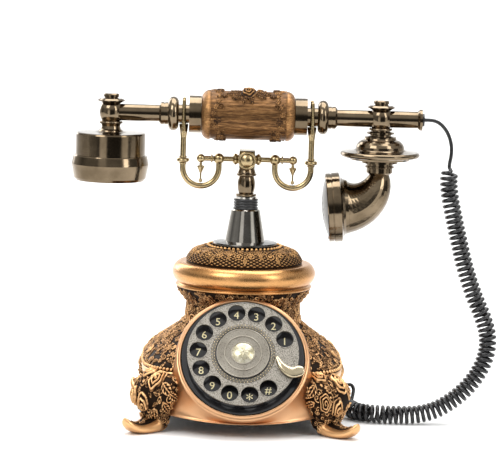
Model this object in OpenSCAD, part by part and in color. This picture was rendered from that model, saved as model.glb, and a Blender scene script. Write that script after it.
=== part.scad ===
/* [Base] */
// Half width of the bell's skirt at the beaded edge
skirt_w = 75; // [70:1:95]
// Height of the beaded edge above the surface
bead_edge_z = 42.4; // [38:0.2:46]
// Height of the skirt's lower edge above the surface
skirt_z = 11; // [10:0.5:12]
// Thickness of the cast wall
wall = 3.5; // [3:0.1:4.2]
// Radius of the waist under the crown
waist_r = 44.5; // [42:0.5:47]

/* [Crown] */
// Outer radius of the smooth crown band
crown_r = 52.8; // [51:0.2:56]
// Height of the smooth crown band
band_h = 17.5; // [16:0.5:20]
// Radius of the ornate dome on the crown
dome_r = 43.6; // [42:0.2:45]
// Height of the ornate dome
dome_h = 12.5; // [11:0.5:14]

/* [Dial] */
// Elevation of the dial's axis in degrees
dial_el = 33; // [30:1:36]
// Radius of the finger plate
plate_r = 40.8; // [40.4:0.2:49]
// Radius of a finger hole
hole_r = 6.45; // [5.4:0.05:6.55]
// Number of finger holes
hole_n = 12; // [10:1:12]
// Angle from one finger hole to the next in degrees
hole_step = 25.75; // [25:0.25:26]
// Height of the finger plate above the bezel's rim
plate_lift = 7; // [6:0.5:9]

/* [Cradle post] */
// Radius of the cone's foot
cone_r = 15.1; // [14:0.1:18]
// Height of the polished cone
cone_h = 24; // [20:0.5:30]
// Radius of the black guide collar
collar_r = 9.3; // [8.5:0.1:10.5]
// Height of the bulb on the sliding post
bulb_h = 13.4; // [11:0.2:17]
// Radius of the sliding plunger
plunger_r = 3.5; // [3:0.1:4.3]
// How far the cradle rises when the handset is lifted
cradle_travel = 4; // [3:0.5:5]

/* [Cradle arms] */
// Distance from the post to each fork
fork_x = 48; // [45:0.5:52]
// Radius of the rod that the hooks are bent from
hook_rod_r = 2.25; // [2:0.05:2.6]
// Height from the arms up to the handset's axis
fork_rise = 33; // [31:0.5:38]

/* [Handset] */
// Radius of the tube through the handset
tube_r = 6.3; // [5.2:0.1:7]
// Distance from the post to the receiver's axis
receiver_x = 102.5; // [95:0.5:123]
// Distance from the post to the transmitter's axis
mouth_x = 99.5; // [92:0.5:120]
// Radius of the grip
grip_r = 18.6; // [15.5:0.1:20]
// Half length of the grip
grip_half = 35; // [30:0.5:36]
// Radius of the receiver's shell
receiver_r = 26.2; // [22:0.2:31]
// Radius of the mouthpiece
mouth_r = 26.2; // [22:0.2:30]
// Radius of the transmitter's brim
brim_r = 30; // [26:0.5:34]

/* [Cord] */
// Radius of the straight cord
cord_r = 1.25; // [1.1:0.05:1.5]
// Outer radius of the curled cord
curl_r = 6.5; // [6:0.1:7]

/* [Hidden] */
$fn = 64;

// Clearances: faces that meet, shafts that turn, and pieces that only pass each other
fit_gap = 0.05;
run_gap = 0.08;
free_gap = 0.3;
// A cut runs this far past the face it opens
over = 1;

// Heights up the stack, each from the one below
bezel_wall = 2.4;
housing_r = plate_r + 4.1;
bezel_r = housing_r + free_gap + bezel_wall;
dial_y = -(skirt_w - 1.5);
dial_z = skirt_z + bezel_r * cos(dial_el) + 4.8;
lip_z = dial_z + bezel_r * cos(dial_el) + 3.2;
lip_h = 1.7;
lip_r = crown_r - 3;
band_z = lip_z + lip_h;
dome_z = band_z + band_h;
crown_top = dome_z + dome_h;
flange_h = 2.5;
cone_z = crown_top + fit_gap;
cone_top = cone_z + flange_h + cone_h;
collar_h = 8;
ring_h = 1.3;
collar_top = cone_top + collar_h + ring_h + 2 * fit_gap;
post_bead_h = 1.9;
post_z = collar_top + free_gap;
arm_z = post_z + 2 * post_bead_h + bulb_h + 4.4 + 6;
handset_z = arm_z + fork_rise;

// The bell's outline: height, half width and squareness of each section
square_e = 4.2;
flare_h = lip_z - bead_edge_z;
skirt_in = skirt_w - 4;
deck_h = 3.5;
deck_hole_r = 35;
SECTIONS = [
    [skirt_z, skirt_in - 1, square_e],
    [skirt_z + 13, skirt_in - 0.5, square_e],
    [bead_edge_z - 6, skirt_in + 1, square_e],
    [bead_edge_z - 4.5, skirt_w - 0.6, square_e],
    [bead_edge_z, skirt_w, square_e],
    [bead_edge_z + 0.09 * flare_h, skirt_w - 1.6, 3.8],
    [bead_edge_z + 0.24 * flare_h, waist_r + 0.72 * (skirt_w - waist_r), 3.1],
    [bead_edge_z + 0.41 * flare_h, waist_r + 0.31 * (skirt_w - waist_r), 2.5],
    [bead_edge_z + 0.55 * flare_h, waist_r + 0.5, 2.2],
    [bead_edge_z + 0.8 * flare_h, waist_r, 2],
    [lip_z - 2, crown_r - 3.6, 2],
    [lip_z, crown_r - 3.6, 2]
];
section_sides = 48;

// Corner legs
leg_c = 0.88 * skirt_w;
toe_c = leg_c + 14.5;
boss_c = skirt_in - 21;
plate_z = skirt_z + 1;
plate_h = 2;
plate_top = plate_z + plate_h + fit_gap;

// Dial stack, measured along the dial's axis from the bezel's rim
rim_top = 0.5;
number_top = 1.8;
housing_floor = -8;
hole_rim = 0.7;
hole_pitch_r = plate_r - hole_r - hole_rim - 0.95;
first_hole = 22;
plate_h_dial = 1.2;
disc_r = 0.47 * plate_r;
shaft_r = 3;
frame_t = 2;
gear_top = -13.5;
gear_t = 2.5;
gear_teeth = 50;
pinion_teeth = 10;
tooth_pitch = 1;
gear_r = gear_teeth * tooth_pitch / 2;
pinion_r = pinion_teeth * tooth_pitch / 2;
gear_gap = 0.25;
governor_x = gear_r + pinion_r + gear_gap;
governor_r = 7.5;
frame_depth = 26;
stop_angle = -18.3;
stop_post = [(plate_r + 2.1) * cos(stop_angle), (plate_r + 2.1) * sin(stop_angle), 0];
pillar_r = 2;
pillar_at = gear_r + 5;

// Handset, measured from its axis
groove_r = 7;
groove_half = 3.9;
ferrule_r = 0.753 * grip_r;
collar_bead_r = 4;
tube_bore_r = tube_r - 1.5;
joint_r = tube_r + 2.5;
joint_h = 13.6;
socket_depth = 4.4;
tube_in_joint = socket_depth + 0.1;
end_tube_l = 23.5;
cap_top = 14.2;
wire_r = 2.5;
bend_r = 25;
bend_angle = 85;
horn_r0 = 7.4;
horn_r1 = mouth_r - 6;
horn_wall = 1.5;
neck_top = -30.85;
horn_top = -41.5;

// Cradle pieces, measured from the arms' axis
block_w = 11.6;
block_top = 7;
block_bottom = -6;
boss_r = 6.5;
hook_bend_r = 13.5;
hook_drop = 7.3;
hook_x = fork_x - hook_bend_r;
fork_top = fork_rise - groove_r - 0.4;
fork_r = groove_half - 0.5;
prong_r = 1.7;
prong_y = groove_r + prong_r + 0.5;
prong_h = 22.5;

// Hook switch under the crown
bracket_z = lip_z - deck_h - fit_gap;
bracket_h = 2;
clip_z = bracket_z + 15;
clip_r = 8.5;
lever_pin_x = 30;
lever_len = 22;
lever_top = clip_z - 0.5;

// Sockets for the cords and the loudness slider: place along the wall, height and size
jack_y = 24;
jack_z = 21;
jack_size = [13, 14, 11];
line_x = -32;
line_size = [15, 14, 11];
socket_depth_in = 11;
socket_w = 8.2;
socket_h = 6.8;
volume_x = 26;
volume_travel = 5;
volume_knob = 5;

// Route of the straight lead, then of the curl, from the handset down to the base
LEAD = [
    [126, 0, 227.4], [138, 0, 227.4], [144, 0, 225], [148.4, 0, 220.4], [151.4, 0, 214.6],
    [153, 0, 208], [153, 0, 201], [152, 0, 195], [152, 0, 190.1]
];
CURL = [
    [152, 0, 190], [152, 0, 180], [153.6, -1, 168], [156.8, -1, 154], [161, -2, 137],
    [166, -3, 118], [173, -4, 98], [180, -6, 82], [184.4, -7, 68], [184.4, -9, 55],
    [180, -11, 42], [172, -13, 30], [161, -15, 19.5], [147, -17, 11], [133, -19, 7.4],
    [118, -20, 6.8], [104, -19, 6.8], [93, -15, 6.8], [86, -7, 6.8], [84, 2, 6.8], [84, 6, 6.8]
];
TAIL = [
    [84, 6.1, 6.8], [84, 10, 6.8], [84.4, 14.4, 8], [85.4, 18.6, 11], [86.4, 21.6, 14.8],
    [86.6, 23.4, 18.4], [84.8, 24, 21], [82.4, 24, 21], [79.6, 24, 21]
];

/* Shared shapes */

// Solid of revolution from an outline of radius and height
module lathe(outline) {
    rotate_extrude() polygon(outline);
}

// Straight ring
module ring(r_out, r_in, h) {
    difference() {
        cylinder(r = r_out, h = h);
        translate([0, 0, -over]) cylinder(r = r_in, h = h + 2 * over);
    }
}

// Barrel whose side is one arc, centred on its own height
module barrel(r_mid, r_end, h) {
    rise = r_mid - r_end;
    arc_r = (rise * rise + h * h / 4) / (2 * rise);
    rotate_extrude() intersection() {
        translate([r_mid - arc_r, 0]) circle(r = arc_r, $fn = 128);
        translate([0, -h / 2]) square([r_mid, h]);
    }
}

// Flat-bottomed bead around an axis
module bead(r, h) {
    rotate_extrude() {
        translate([0, -h / 2]) square([r - h / 2, h]);
        translate([r - h / 2, 0]) circle(r = h / 2, $fn = 32);
    }
}

// Places children in the dial's frame, with Z out of the dial
module on_dial() {
    translate([0, dial_y, dial_z]) rotate([90 - dial_el, 0, 0]) children();
}

// Places children on the handset's axis, with Z along +X
module on_handset() {
    translate([0, 0, handset_z]) rotate([0, 90, 0]) children();
}

// The same piece at each side of the post
module both_sides() {
    for (side = [0, 1]) mirror([side, 0, 0]) children();
}

// Radius of a section at an angle: 2 is round, larger is squarer
function section_r(w, e, a) = w / pow(pow(abs(cos(a)), e) + pow(abs(sin(a)), e), 1 / e);
function section(s, inset) = [
    for (i = [0 : section_sides - 1])
        let (a = 360 * i / section_sides, r = section_r(s[1] - inset, s[2], a))
        [r * cos(a), r * sin(a), s[0]]
];

// Closed skin through rings of points that all have the same count
module skin(rings) {
    n = len(rings[0]);
    m = len(rings);
    points = [for (r = rings) for (p = r) p];
    sides = [
        for (k = [0 : m - 2]) for (i = [0 : n - 1])
            let (j = (i + 1) % n)
            [k * n + i, (k + 1) * n + i, (k + 1) * n + j, k * n + j]
    ];
    low = [for (i = [0 : n - 1]) i];
    high = [for (i = [n - 1 : -1 : 0]) (m - 1) * n + i];
    polyhedron(points = points, faces = concat(sides, [low], [high]), convexity = 8);
}

// Tube along a route of points
function unit(v) = v / norm(v);
function along(p, i) = unit(p[min(i + 1, len(p) - 1)] - p[max(i - 1, 0)]);
function side_of(p, i) = unit(cross(along(p, i), [0, 1, 0.35]));
function tube_ring(p, i, r, n) =
    let (u = side_of(p, i), v = cross(along(p, i), u))
    [for (k = [0 : n - 1]) p[i] + r * cos(360 * k / n) * u + r * sin(360 * k / n) * v];
module cord_tube(route, r, n) {
    skin([for (i = [0 : len(route) - 1]) tube_ring(route, i, r, n)]);
}

/* Base */

// The bell, drawn in by an inset and run on below its edge by a drop
module bell(inset, drop = 0) {
    run_on = [for (d = [drop]) if (d > 0) SECTIONS[0] - [d, 0, 0]];
    skin([for (s = concat(run_on, SECTIONS)) section(s, inset)]);
}

module leg() {
    hull() {
        translate([leg_c, leg_c, 33]) sphere(r = 16.5, $fn = 20);
        translate([leg_c - 7, leg_c - 7, 24]) sphere(r = 17, $fn = 20);
    }
    hull() {
        translate([leg_c, leg_c, 26]) sphere(r = 14, $fn = 20);
        translate([leg_c, leg_c, 1]) cylinder(r = 9, h = 6, $fn = 20);
    }
    hull() {
        translate([leg_c, leg_c, 1]) cylinder(r = 8.5, h = 5, $fn = 20);
        translate([toe_c - 6, toe_c - 6, 1]) cylinder(r = 5, h = 4.5, $fn = 16);
    }
    hull() {
        translate([toe_c - 6, toe_c - 6, 1]) cylinder(r = 5, h = 4.5, $fn = 16);
        translate([toe_c, toe_c, 7.5]) sphere(r = 3.4, $fn = 16);
    }
}

module at_corners() {
    for (sx = [-1, 1]) for (sy = [-1, 1]) scale([sx, sy, 1]) children();
}

module screw_boss() {
    hull() {
        translate([boss_c, boss_c, plate_top]) cylinder(r = 4.5, h = 16, $fn = 20);
        translate([boss_c + 14, boss_c + 14, plate_top + 5]) cylinder(r = 3, h = 8, $fn = 20);
    }
}

module dial_drum() {
    hull() {
        on_dial() translate([0, 0, -7]) cylinder(r = bezel_r, h = 7);
        translate([-0.76 * skirt_w, -skirt_in, skirt_z]) cube([1.52 * skirt_w, 8, 12]);
    }
    intersection() {
        on_dial() translate([0, 0, -32]) cylinder(r = bezel_r, h = 30);
        translate([-skirt_w, -2 * skirt_w, skirt_z]) cube([2 * skirt_w, 2 * skirt_w, lip_z - skirt_z - 4]);
    }
}

// Room inside the bell and behind the dial, open at the bottom
module inside() {
    intersection() {
        bell(wall, 2);
        translate([-2 * skirt_w, -2 * skirt_w, 0]) cube([4 * skirt_w, 4 * skirt_w, lip_z - deck_h]);
    }
    intersection() {
        on_dial() translate([0, 0, -36]) cylinder(r = housing_r - 2.4, h = 30);
        translate([-skirt_w, -2 * skirt_w, plate_top + 2])
            cube([2 * skirt_w, 2 * skirt_w, lip_z - deck_h - plate_top - 2]);
    }
    on_dial() translate([0, 0, housing_floor - fit_gap]) cylinder(r = housing_r + free_gap, h = 20);
}

module window(size) {
    translate([-size[0] / 2, -12, -size[2] / 2]) cube([size[0], 24, size[2]]);
}

module body_shell() {
    gap = [2 * fit_gap, 0, 2 * fit_gap];
    slot_w = volume_knob + volume_travel + 2;
    color("darkgoldenrod") difference() {
        union() {
            difference() {
                union() {
                    bell(0);
                    at_corners() leg();
                    dial_drum();
                }
                inside();
            }
            at_corners() screw_boss();
        }
        translate([0, 0, lip_z - 10]) cylinder(r = deck_hole_r, h = 20);
        at_corners() translate([boss_c, boss_c, 0]) {
            cylinder(r = 4.5, h = plate_z, $fn = 24);
            cylinder(r = 1.6, h = plate_z + 14, $fn = 24);
        }
        translate([skirt_in - 2, jack_y, jack_z]) rotate([0, 0, 90]) window(jack_size + gap);
        translate([line_x, skirt_in - 2, jack_z]) window(line_size + gap);
        translate([volume_x, skirt_in - 2, jack_z]) window([slot_w, 0, volume_knob + 1]);
        on_dial() translate([0, 0, rim_top]) cylinder(r = 2 * skirt_w, h = 40);
    }
}

module crown() {
    dome_rise = dome_h - 1;
    neck_r = 25;
    arc_w = dome_r - neck_r;
    outline = concat(
        [[lip_r - wall, lip_z + fit_gap], [lip_r, lip_z + fit_gap], [lip_r, band_z]],
        [for (i = [0 : 12]) let (a = -90 + 15 * i)
            [crown_r - band_h / 2 + band_h / 2 * cos(a), band_z + band_h / 2 * (1 + sin(a))]],
        [for (i = [0 : 8]) let (a = 11.25 * i)
            [neck_r + arc_w * cos(a), dome_z + dome_rise * sin(a)]],
        [[neck_r - 1, crown_top], [plunger_r + 1, crown_top], [plunger_r + 1, crown_top - wall],
         [neck_r - 3, crown_top - wall - 1], [neck_r + arc_w / 2, dome_z + 0.75 * dome_rise - wall],
         [dome_r - wall, dome_z - wall], [lip_r - wall, band_z + 1]]
    );
    color("goldenrod") lathe(outline);
}

module bottom_plate() {
    s = [plate_z, skirt_in - 1 - wall - free_gap, square_e];
    color("dimgray") difference() {
        skin([section(s, 0), section([plate_z + plate_h, s[1], s[2]], 0)]);
        at_corners() translate([boss_c, boss_c, skirt_z]) cylinder(r = 1.8, h = 4, $fn = 32);
    }
}

module rubber_feet() {
    color("black") at_corners() translate([leg_c, leg_c, 0]) cylinder(r = 6.5, h = 1 - fit_gap);
}

module screw(length) {
    translate([0, 0, -1.6]) cylinder(r = 3, h = 1.6 - fit_gap);
    translate([0, 0, -0.1]) cylinder(r = 1.45, h = length);
}

module case_screws() {
    color("silver") at_corners() translate([boss_c, boss_c, plate_z]) screw(12);
}

module ballast_weight() {
    color("gray") translate([-30, -44, plate_top]) cube([60, 30, 6]);
}

/* Dial */

module dial_housing() {
    color("black") on_dial() difference() {
        union() {
            translate([0, 0, housing_floor]) cylinder(r = housing_r, h = rim_top - housing_floor);
            cylinder(r = plate_r - 0.6, h = number_top - 1 - fit_gap);
        }
        translate([0, 0, housing_floor - over]) cylinder(r = shaft_r + run_gap, h = 20);
        translate(stop_post) translate([0, 0, housing_floor + 3]) cylinder(r = 1.3 + fit_gap, h = 20);
    }
}

module number_plate() {
    color("black") on_dial() translate([0, 0, number_top - 1]) ring(plate_r - 1, shaft_r + 2, 1);
}

// Comma-shaped hook over the plate's edge, on one post outside the plate
module finger_stop() {
    stop_z = plate_lift + plate_h_dial + 0.8;
    spots = [[0.6 * plate_r, -0.07 * plate_r, 1], [0.71 * plate_r, -0.26 * plate_r, 2.6],
             [0.87 * plate_r, -0.36 * plate_r, 3.8], [stop_post[0], stop_post[1], 4.2]];
    color("wheat") on_dial() {
        for (i = [0 : 2]) hull() {
            translate([spots[i][0], spots[i][1], stop_z]) cylinder(r = spots[i][2], h = 1.4, $fn = 24);
            translate([spots[i + 1][0], spots[i + 1][1], stop_z]) cylinder(r = spots[i + 1][2], h = 1.4, $fn = 24);
        }
        translate(stop_post) translate([0, 0, housing_floor + 3.2])
            cylinder(r = 1.3, h = stop_z - housing_floor - 3);
    }
}

module finger_plate() {
    rim_h = 0.3;
    color("gainsboro") on_dial() translate([0, 0, plate_lift]) {
        difference() {
            union() {
                lathe([[0, 0], [plate_r, 0], [plate_r, plate_h_dial + rim_h], [plate_r - 0.6, plate_h_dial + rim_h],
                       [plate_r - 0.6, plate_h_dial], [0, plate_h_dial]]);
                at_holes() cylinder(r = hole_r + hole_rim, h = plate_h_dial + rim_h - 0.2);
            }
            at_holes() translate([0, 0, -over]) cylinder(r = hole_r, h = 4);
            translate([0, 0, -over]) cylinder(r = shaft_r + fit_gap, h = 4);
        }
    }
}

// The same piece at each finger hole, just above the plate's underside
module at_holes() {
    for (i = [0 : hole_n - 1]) rotate([0, 0, first_hole + i * hole_step])
        translate([hole_pitch_r, 0, 0.2]) children();
}

module center_disc() {
    dome_w = 0.205 * plate_r;
    color("silver") on_dial() translate([0, 0, plate_lift + plate_h_dial + fit_gap]) {
        difference() {
            union() {
                cylinder(r = disc_r, h = 0.9);
                ring(0.34 * plate_r, 0.34 * plate_r - 0.8, 1.3);
                intersection() {
                    translate([0, 0, 3.4 - dome_w * 1.5]) sphere(r = dome_w * 1.5);
                    cylinder(r = dome_w, h = 4);
                }
            }
            translate([0, 0, -over]) cylinder(r = shaft_r + fit_gap, h = 2);
        }
    }
}

module dial_shaft() {
    color("silver") on_dial() {
        translate([0, 0, -frame_depth + frame_t / 2])
            cylinder(r = shaft_r, h = frame_depth - frame_t / 2 + plate_lift + plate_h_dial + 0.9);
        translate([0, 0, number_top + free_gap]) cylinder(r = shaft_r + 1.5, h = plate_lift - number_top - free_gap - fit_gap);
    }
}

module dial_frame() {
    back_z = -frame_depth;
    color("lightslategray") on_dial() {
        difference() {
            union() {
                translate([0, 0, housing_floor - fit_gap - frame_t]) cylinder(r = governor_x + 8, h = frame_t);
                translate([0, 0, back_z]) linear_extrude(height = frame_t) {
                    circle(r = gear_r + 4);
                    translate([-governor_x, 0]) circle(r = 6);
                    for (a = [45 : 90 : 315]) rotate([0, 0, a]) translate([pillar_at, 0]) circle(r = pillar_r + 2);
                }
                for (a = [45 : 90 : 315]) rotate([0, 0, a]) translate([pillar_at, 0, back_z + 0.5])
                    cylinder(r = pillar_r, h = frame_depth + housing_floor - 1.5);
            }
            translate([0, 0, back_z - over]) cylinder(r = shaft_r + run_gap, h = frame_depth);
            translate([-governor_x, 0, back_z - over]) cylinder(r = 1.2 + run_gap, h = frame_depth);
        }
    }
}

// Wheel outline with slim teeth, so that a pair turns freely
module toothed(teeth, turn) {
    r = teeth * tooth_pitch / 2;
    root = r - 1.05 * tooth_pitch;
    tip = r + 0.75 * tooth_pitch;
    step = 360 / teeth;
    points = [
        for (i = [0 : teeth - 1])
            for (c = [[root, -0.27], [r, -0.17], [tip, -0.07], [tip, 0.07], [r, 0.17], [root, 0.27]])
                let (a = turn + step * (i + c[1])) [c[0] * cos(a), c[0] * sin(a)]
    ];
    polygon(points);
}

module main_gear() {
    color("goldenrod") on_dial() translate([0, 0, gear_top - gear_t]) difference() {
        linear_extrude(height = gear_t) toothed(gear_teeth, 180);
        translate([0, 0, -over]) cylinder(r = shaft_r + fit_gap, h = gear_t + 2 * over);
        for (a = [0 : 60 : 300]) rotate([0, 0, a]) translate([gear_r * 0.56, 0, -over])
            cylinder(r = gear_r * 0.2, h = gear_t + 2 * over);
    }
}

module governor_rotor() {
    back_z = -frame_depth;
    color("brown") on_dial() translate([-governor_x, 0, 0]) {
        translate([0, 0, gear_top - gear_t]) linear_extrude(height = gear_t) toothed(pinion_teeth, 18);
        translate([0, 0, back_z + 0.4]) cylinder(r = 1.2, h = frame_depth + housing_floor - 1.2);
        translate([0, 0, back_z + frame_t + 0.6]) {
            cylinder(r = 3, h = 4);
            translate([-governor_r + 2, -1.2, 0.4]) cube([2 * governor_r - 4, 2.4, 1.4]);
            for (s = [-1, 1]) translate([s * (governor_r - 2), 0, 0]) cylinder(r = 2, h = 4);
        }
    }
}

// Flat spiral from the shaft to the frame's first pillar
module return_spring() {
    turns = 4.125;
    steps = 99;
    spring_t = 0.5;
    r0 = shaft_r + free_gap;
    r1 = pillar_at - pillar_r - spring_t - fit_gap;
    function spiral(i, o) =
        let (a = 360 * turns * i / steps, r = r0 + (r1 - r0) * i / steps + o) [r * cos(a), r * sin(a)];
    color("steelblue") on_dial() translate([0, 0, -18.8]) linear_extrude(height = 1.8)
        polygon(concat([for (i = [0 : steps]) spiral(i, 0)], [for (i = [steps : -1 : 0]) spiral(i, spring_t)]));
}

module pulse_contacts() {
    color("orange") on_dial() translate([4, gear_r - 4, housing_floor - frame_t - 2 * fit_gap]) {
        translate([0, 0, -2.8]) cube([9, 6, 2.8]);
        translate([-9, 1, -1.2]) cube([9.5, 4, 0.5]);
        translate([-9, 1, -2.5]) cube([9.5, 4, 0.5]);
    }
}

/* Post and hook switch */

module post_cone() {
    cone_top_r = 0.72 * cone_r;
    color("dimgray") translate([0, 0, cone_z]) difference() {
        union() {
            lathe([[0, 0], [1.6 * cone_r, 0], [1.6 * cone_r, 0.9], [1.57 * cone_r, 1.6], [cone_r, flange_h],
                   [cone_top_r, flange_h + cone_h - 0.8], [cone_top_r - 0.8, flange_h + cone_h],
                   [0, flange_h + cone_h]]);
        }
        translate([0, 0, -over]) cylinder(r = plunger_r + 1, h = cone_h + flange_h + 2 * over);
    }
}

module guide_collar() {
    color("black") translate([0, 0, cone_top + fit_gap]) ring(collar_r, plunger_r + run_gap, collar_h);
}

module collar_ring() {
    color("silver") translate([0, 0, cone_top + collar_h + 2 * fit_gap]) ring(collar_r - 0.9, plunger_r + 1, ring_h);
}

module hook_bracket() {
    color("slategray") translate([0, 0, bracket_z - bracket_h]) difference() {
        translate([-deck_hole_r - 5, -9, 0]) cube([2 * deck_hole_r + 10, 18, bracket_h]);
        translate([0, 0, -over]) cylinder(r = plunger_r + run_gap, h = bracket_h + 2 * over);
    }
}

module hook_switch() {
    pin_z = lever_top - 3;
    color("midnightblue") translate([0, 0, bracket_z + fit_gap]) {
        translate([15, -5, 0]) cube([19, 10, 7]);
        difference() {
            for (y = [-5, 3]) translate([lever_pin_x - 2.5, y, 6]) cube([5, 2, pin_z - bracket_z - 4.2]);
            translate([lever_pin_x, 0, pin_z - bracket_z - fit_gap]) rotate([90, 0, 0])
                cylinder(r = 1 + run_gap, h = 12, center = true);
        }
    }
}

module switch_lever() {
    pin_z = lever_top - 3;
    color("silver") {
        translate([lever_pin_x - lever_len, -2, lever_top - 1.2]) cube([lever_len, 4, 1.2]);
        translate([lever_pin_x - 1, -2, pin_z]) cube([2, 4, 2.4]);
        translate([lever_pin_x, 0, pin_z]) rotate([90, 0, 0]) cylinder(r = 1, h = 10, center = true);
        translate([lever_pin_x, 0, pin_z]) rotate([90, 0, 0]) cylinder(r = 2, h = 4, center = true);
    }
}

// Compression spring between the bracket and the shoulder on the post
module plunger_spring() {
    turns = 5;
    per_turn = 14;
    wire = 0.55;
    coil_r = plunger_r + 1.6;
    low = bracket_z + wire + fit_gap;
    high = clip_z - wire - fit_gap;
    n = turns * per_turn;
    color("lightsteelblue") skin([
        for (i = [0 : n])
            let (a = 360 * i / per_turn, z = low + (high - low) * i / n)
            [for (k = [0 : 5]) [(coil_r + wire * cos(60 * k)) * cos(a), (coil_r + wire * cos(60 * k)) * sin(a),
                                z + wire * sin(60 * k)]]
    ]);
}

/* Cradle */

module cradle_post() {
    z0 = post_z - arm_z;
    bulb_z = z0 + post_bead_h;
    skirt_top = block_bottom - fit_gap;
    skirt_bottom = bulb_z + bulb_h + post_bead_h;
    color("darkkhaki") translate([0, 0, arm_z]) {
        lathe([[0, skirt_bottom - 0.3], [6.8, skirt_bottom - 0.3], [6.8, skirt_bottom + 0.8],
               [5.9, skirt_top - 0.8], [5.7, skirt_top], [0, skirt_top]]);
        translate([0, 0, skirt_bottom - post_bead_h / 2]) bead(7.7, post_bead_h);
        translate([0, 0, bulb_z + bulb_h / 2]) barrel(6.7, 5.4, bulb_h + 0.1);
        translate([0, 0, z0 + post_bead_h / 2]) bead(7.85, post_bead_h);
        translate([0, 0, bracket_z - 10 - arm_z]) cylinder(r = plunger_r, h = arm_z - bracket_z + 10 + z0 + 0.5);
        translate([0, 0, clip_z - arm_z]) cylinder(r = clip_r, h = 1.5);
    }
}

module cradle_block() {
    color("darkkhaki") translate([0, 0, arm_z]) {
        translate([-block_w / 2, -7, block_bottom]) cube([block_w, 14, block_top - block_bottom]);
        for (turn = [0, 180]) rotate([90, 0, turn]) translate([0, 0, 6.5]) cylinder(r = boss_r, h = 3);
    }
}

module boss_caps() {
    cap_r = boss_r - 1.6;
    color("khaki") for (turn = [0, 180]) rotate([0, 0, turn]) translate([0, -9.5 - fit_gap, arm_z])
        rotate([90, 0, 0]) intersection() {
            translate([0, 0, 2.2 - 1.4 * cap_r]) sphere(r = 1.4 * cap_r);
            cylinder(r = cap_r, h = 3);
        }
}

// One arm: collar, rod, balls, the bent hook, its bead and the fork that holds the handset
module cradle_arm() {
    color("burlywood") translate([0, 0, arm_z]) {
        rotate([0, 90, 0]) {
            translate([0, 0, block_w / 2 + fit_gap]) lathe([[0, 0], [2.9, 0], [3.4, 1.2], [4.3, 2.2], [4.3, 3.4], [2.6, 4.8], [0, 4.8]]);
            translate([0, 0, block_w / 2 + 2]) cylinder(r = 1.95, h = hook_x - block_w / 2 - 2);
            translate([0, 0, hook_x - 8.1]) bead(3.2, 1.3);
        }
        translate([hook_x - hook_bend_r, 0, 0]) sphere(r = 4.15);
        translate([hook_x, 0, 0]) sphere(r = 3.3);
        translate([hook_x - hook_bend_r, 0, -hook_drop]) cylinder(r = hook_rod_r, h = hook_drop);
        translate([hook_x, 0, -hook_drop]) rotate([90, 0, 0]) rotate_extrude(angle = -180)
            translate([hook_bend_r, 0]) circle(r = hook_rod_r, $fn = 32);
        translate([fork_x, 0, -hook_drop]) cylinder(r = hook_rod_r, h = hook_drop + fork_top - 9.5);
        translate([fork_x, 0, -1.5]) bead(4.85, 3.2);
        for (z = [-4, 1]) translate([fork_x, 0, z]) bead(3, 1.1);
        translate([fork_x, 0, fork_top - 10]) cylinder(r1 = hook_rod_r, r2 = fork_r, h = 8.6);
        translate([fork_x, 0, fork_top - 1.4]) cylinder(r = fork_r, h = 1.4);
        translate([fork_x, 0, fork_top - 4.6]) rotate([90, 0, 0])
            cylinder(r = prong_r + 0.1, h = 2 * prong_y, center = true);
        for (y = [-prong_y, prong_y]) translate([fork_x, y, fork_top - 4.6]) {
            sphere(r = prong_r + 0.1);
            cylinder(r1 = prong_r, r2 = 1.3, h = prong_h);
            translate([0, 0, prong_h]) sphere(r = 1.3);
        }
    }
}

module cradle_arm_right() {
    cradle_arm();
}

module cradle_arm_left() {
    mirror([1, 0, 0]) cradle_arm();
}

module arm_pendants() {
    color("tan") both_sides() translate([hook_x, 0, arm_z - 3.3]) {
        lathe([[0, -13], [0.7, -13], [0.7, -7.8], [2.8, -3.2], [2.8, -2.4], [1.1, -1.8], [1.1, -fit_gap], [0, -fit_gap]]);
        translate([0, 0, -13.4]) sphere(r = 1.5);
    }
}

/* Handset */

module grip_barrel() {
    edge = 6.5;
    color("peru") on_handset() difference() {
        union() {
            rotate_extrude() {
                translate([0, -grip_half]) square([grip_r - edge, 2 * grip_half]);
                translate([0, -grip_half + edge]) square([grip_r, 2 * grip_half - 2 * edge]);
                for (z = [-1, 1]) translate([grip_r - edge, z * (grip_half - edge)]) circle(r = edge);
            }
            translate([-grip_r + 2.4, 0, 0]) sphere(r = 9);
        }
        translate([0, 0, -2 * grip_half]) cylinder(r = tube_r + fit_gap, h = 4 * grip_half);
    }
}

// Polished ring at each end of the grip, with the groove that the fork holds
module grip_ferrules() {
    z1 = grip_half + fit_gap;
    z2 = fork_x - groove_half;
    color("gray") for (turn = [0, 180]) rotate([0, 0, turn]) on_handset() difference() {
        union() {
            translate([0, 0, z1]) cylinder(r = ferrule_r, h = z2 - z1);
            translate([0, 0, z2]) cylinder(r = groove_r, h = 2 * groove_half);
        }
        translate([0, 0, z1 - over]) cylinder(r = tube_r + fit_gap, h = 30);
    }
}

module tube_collars() {
    z1 = fork_x + groove_half + fit_gap;
    color("gray") for (turn = [0, 180]) rotate([0, 0, turn]) on_handset() translate([0, 0, z1]) difference() {
        union() {
            translate([0, 0, collar_bead_r]) bead(tube_r + 6.6, 2 * collar_bead_r);
            translate([0, 0, 2 * collar_bead_r - 1]) cylinder(r = tube_r + 2.2, h = 3.4);
            translate([0, 0, 2 * collar_bead_r]) cylinder(r = tube_r + 1.7, h = 4);
            translate([0, 0, 2 * collar_bead_r + 3]) cylinder(r = tube_r + 2.2, h = 2.2);
            translate([0, 0, 2 * collar_bead_r + 5.2]) cylinder(r1 = tube_r + 2.2, r2 = tube_r + 0.9, h = 1.3);
        }
        translate([0, 0, -over]) cylinder(r = tube_r + fit_gap, h = 30);
    }
}

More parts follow.
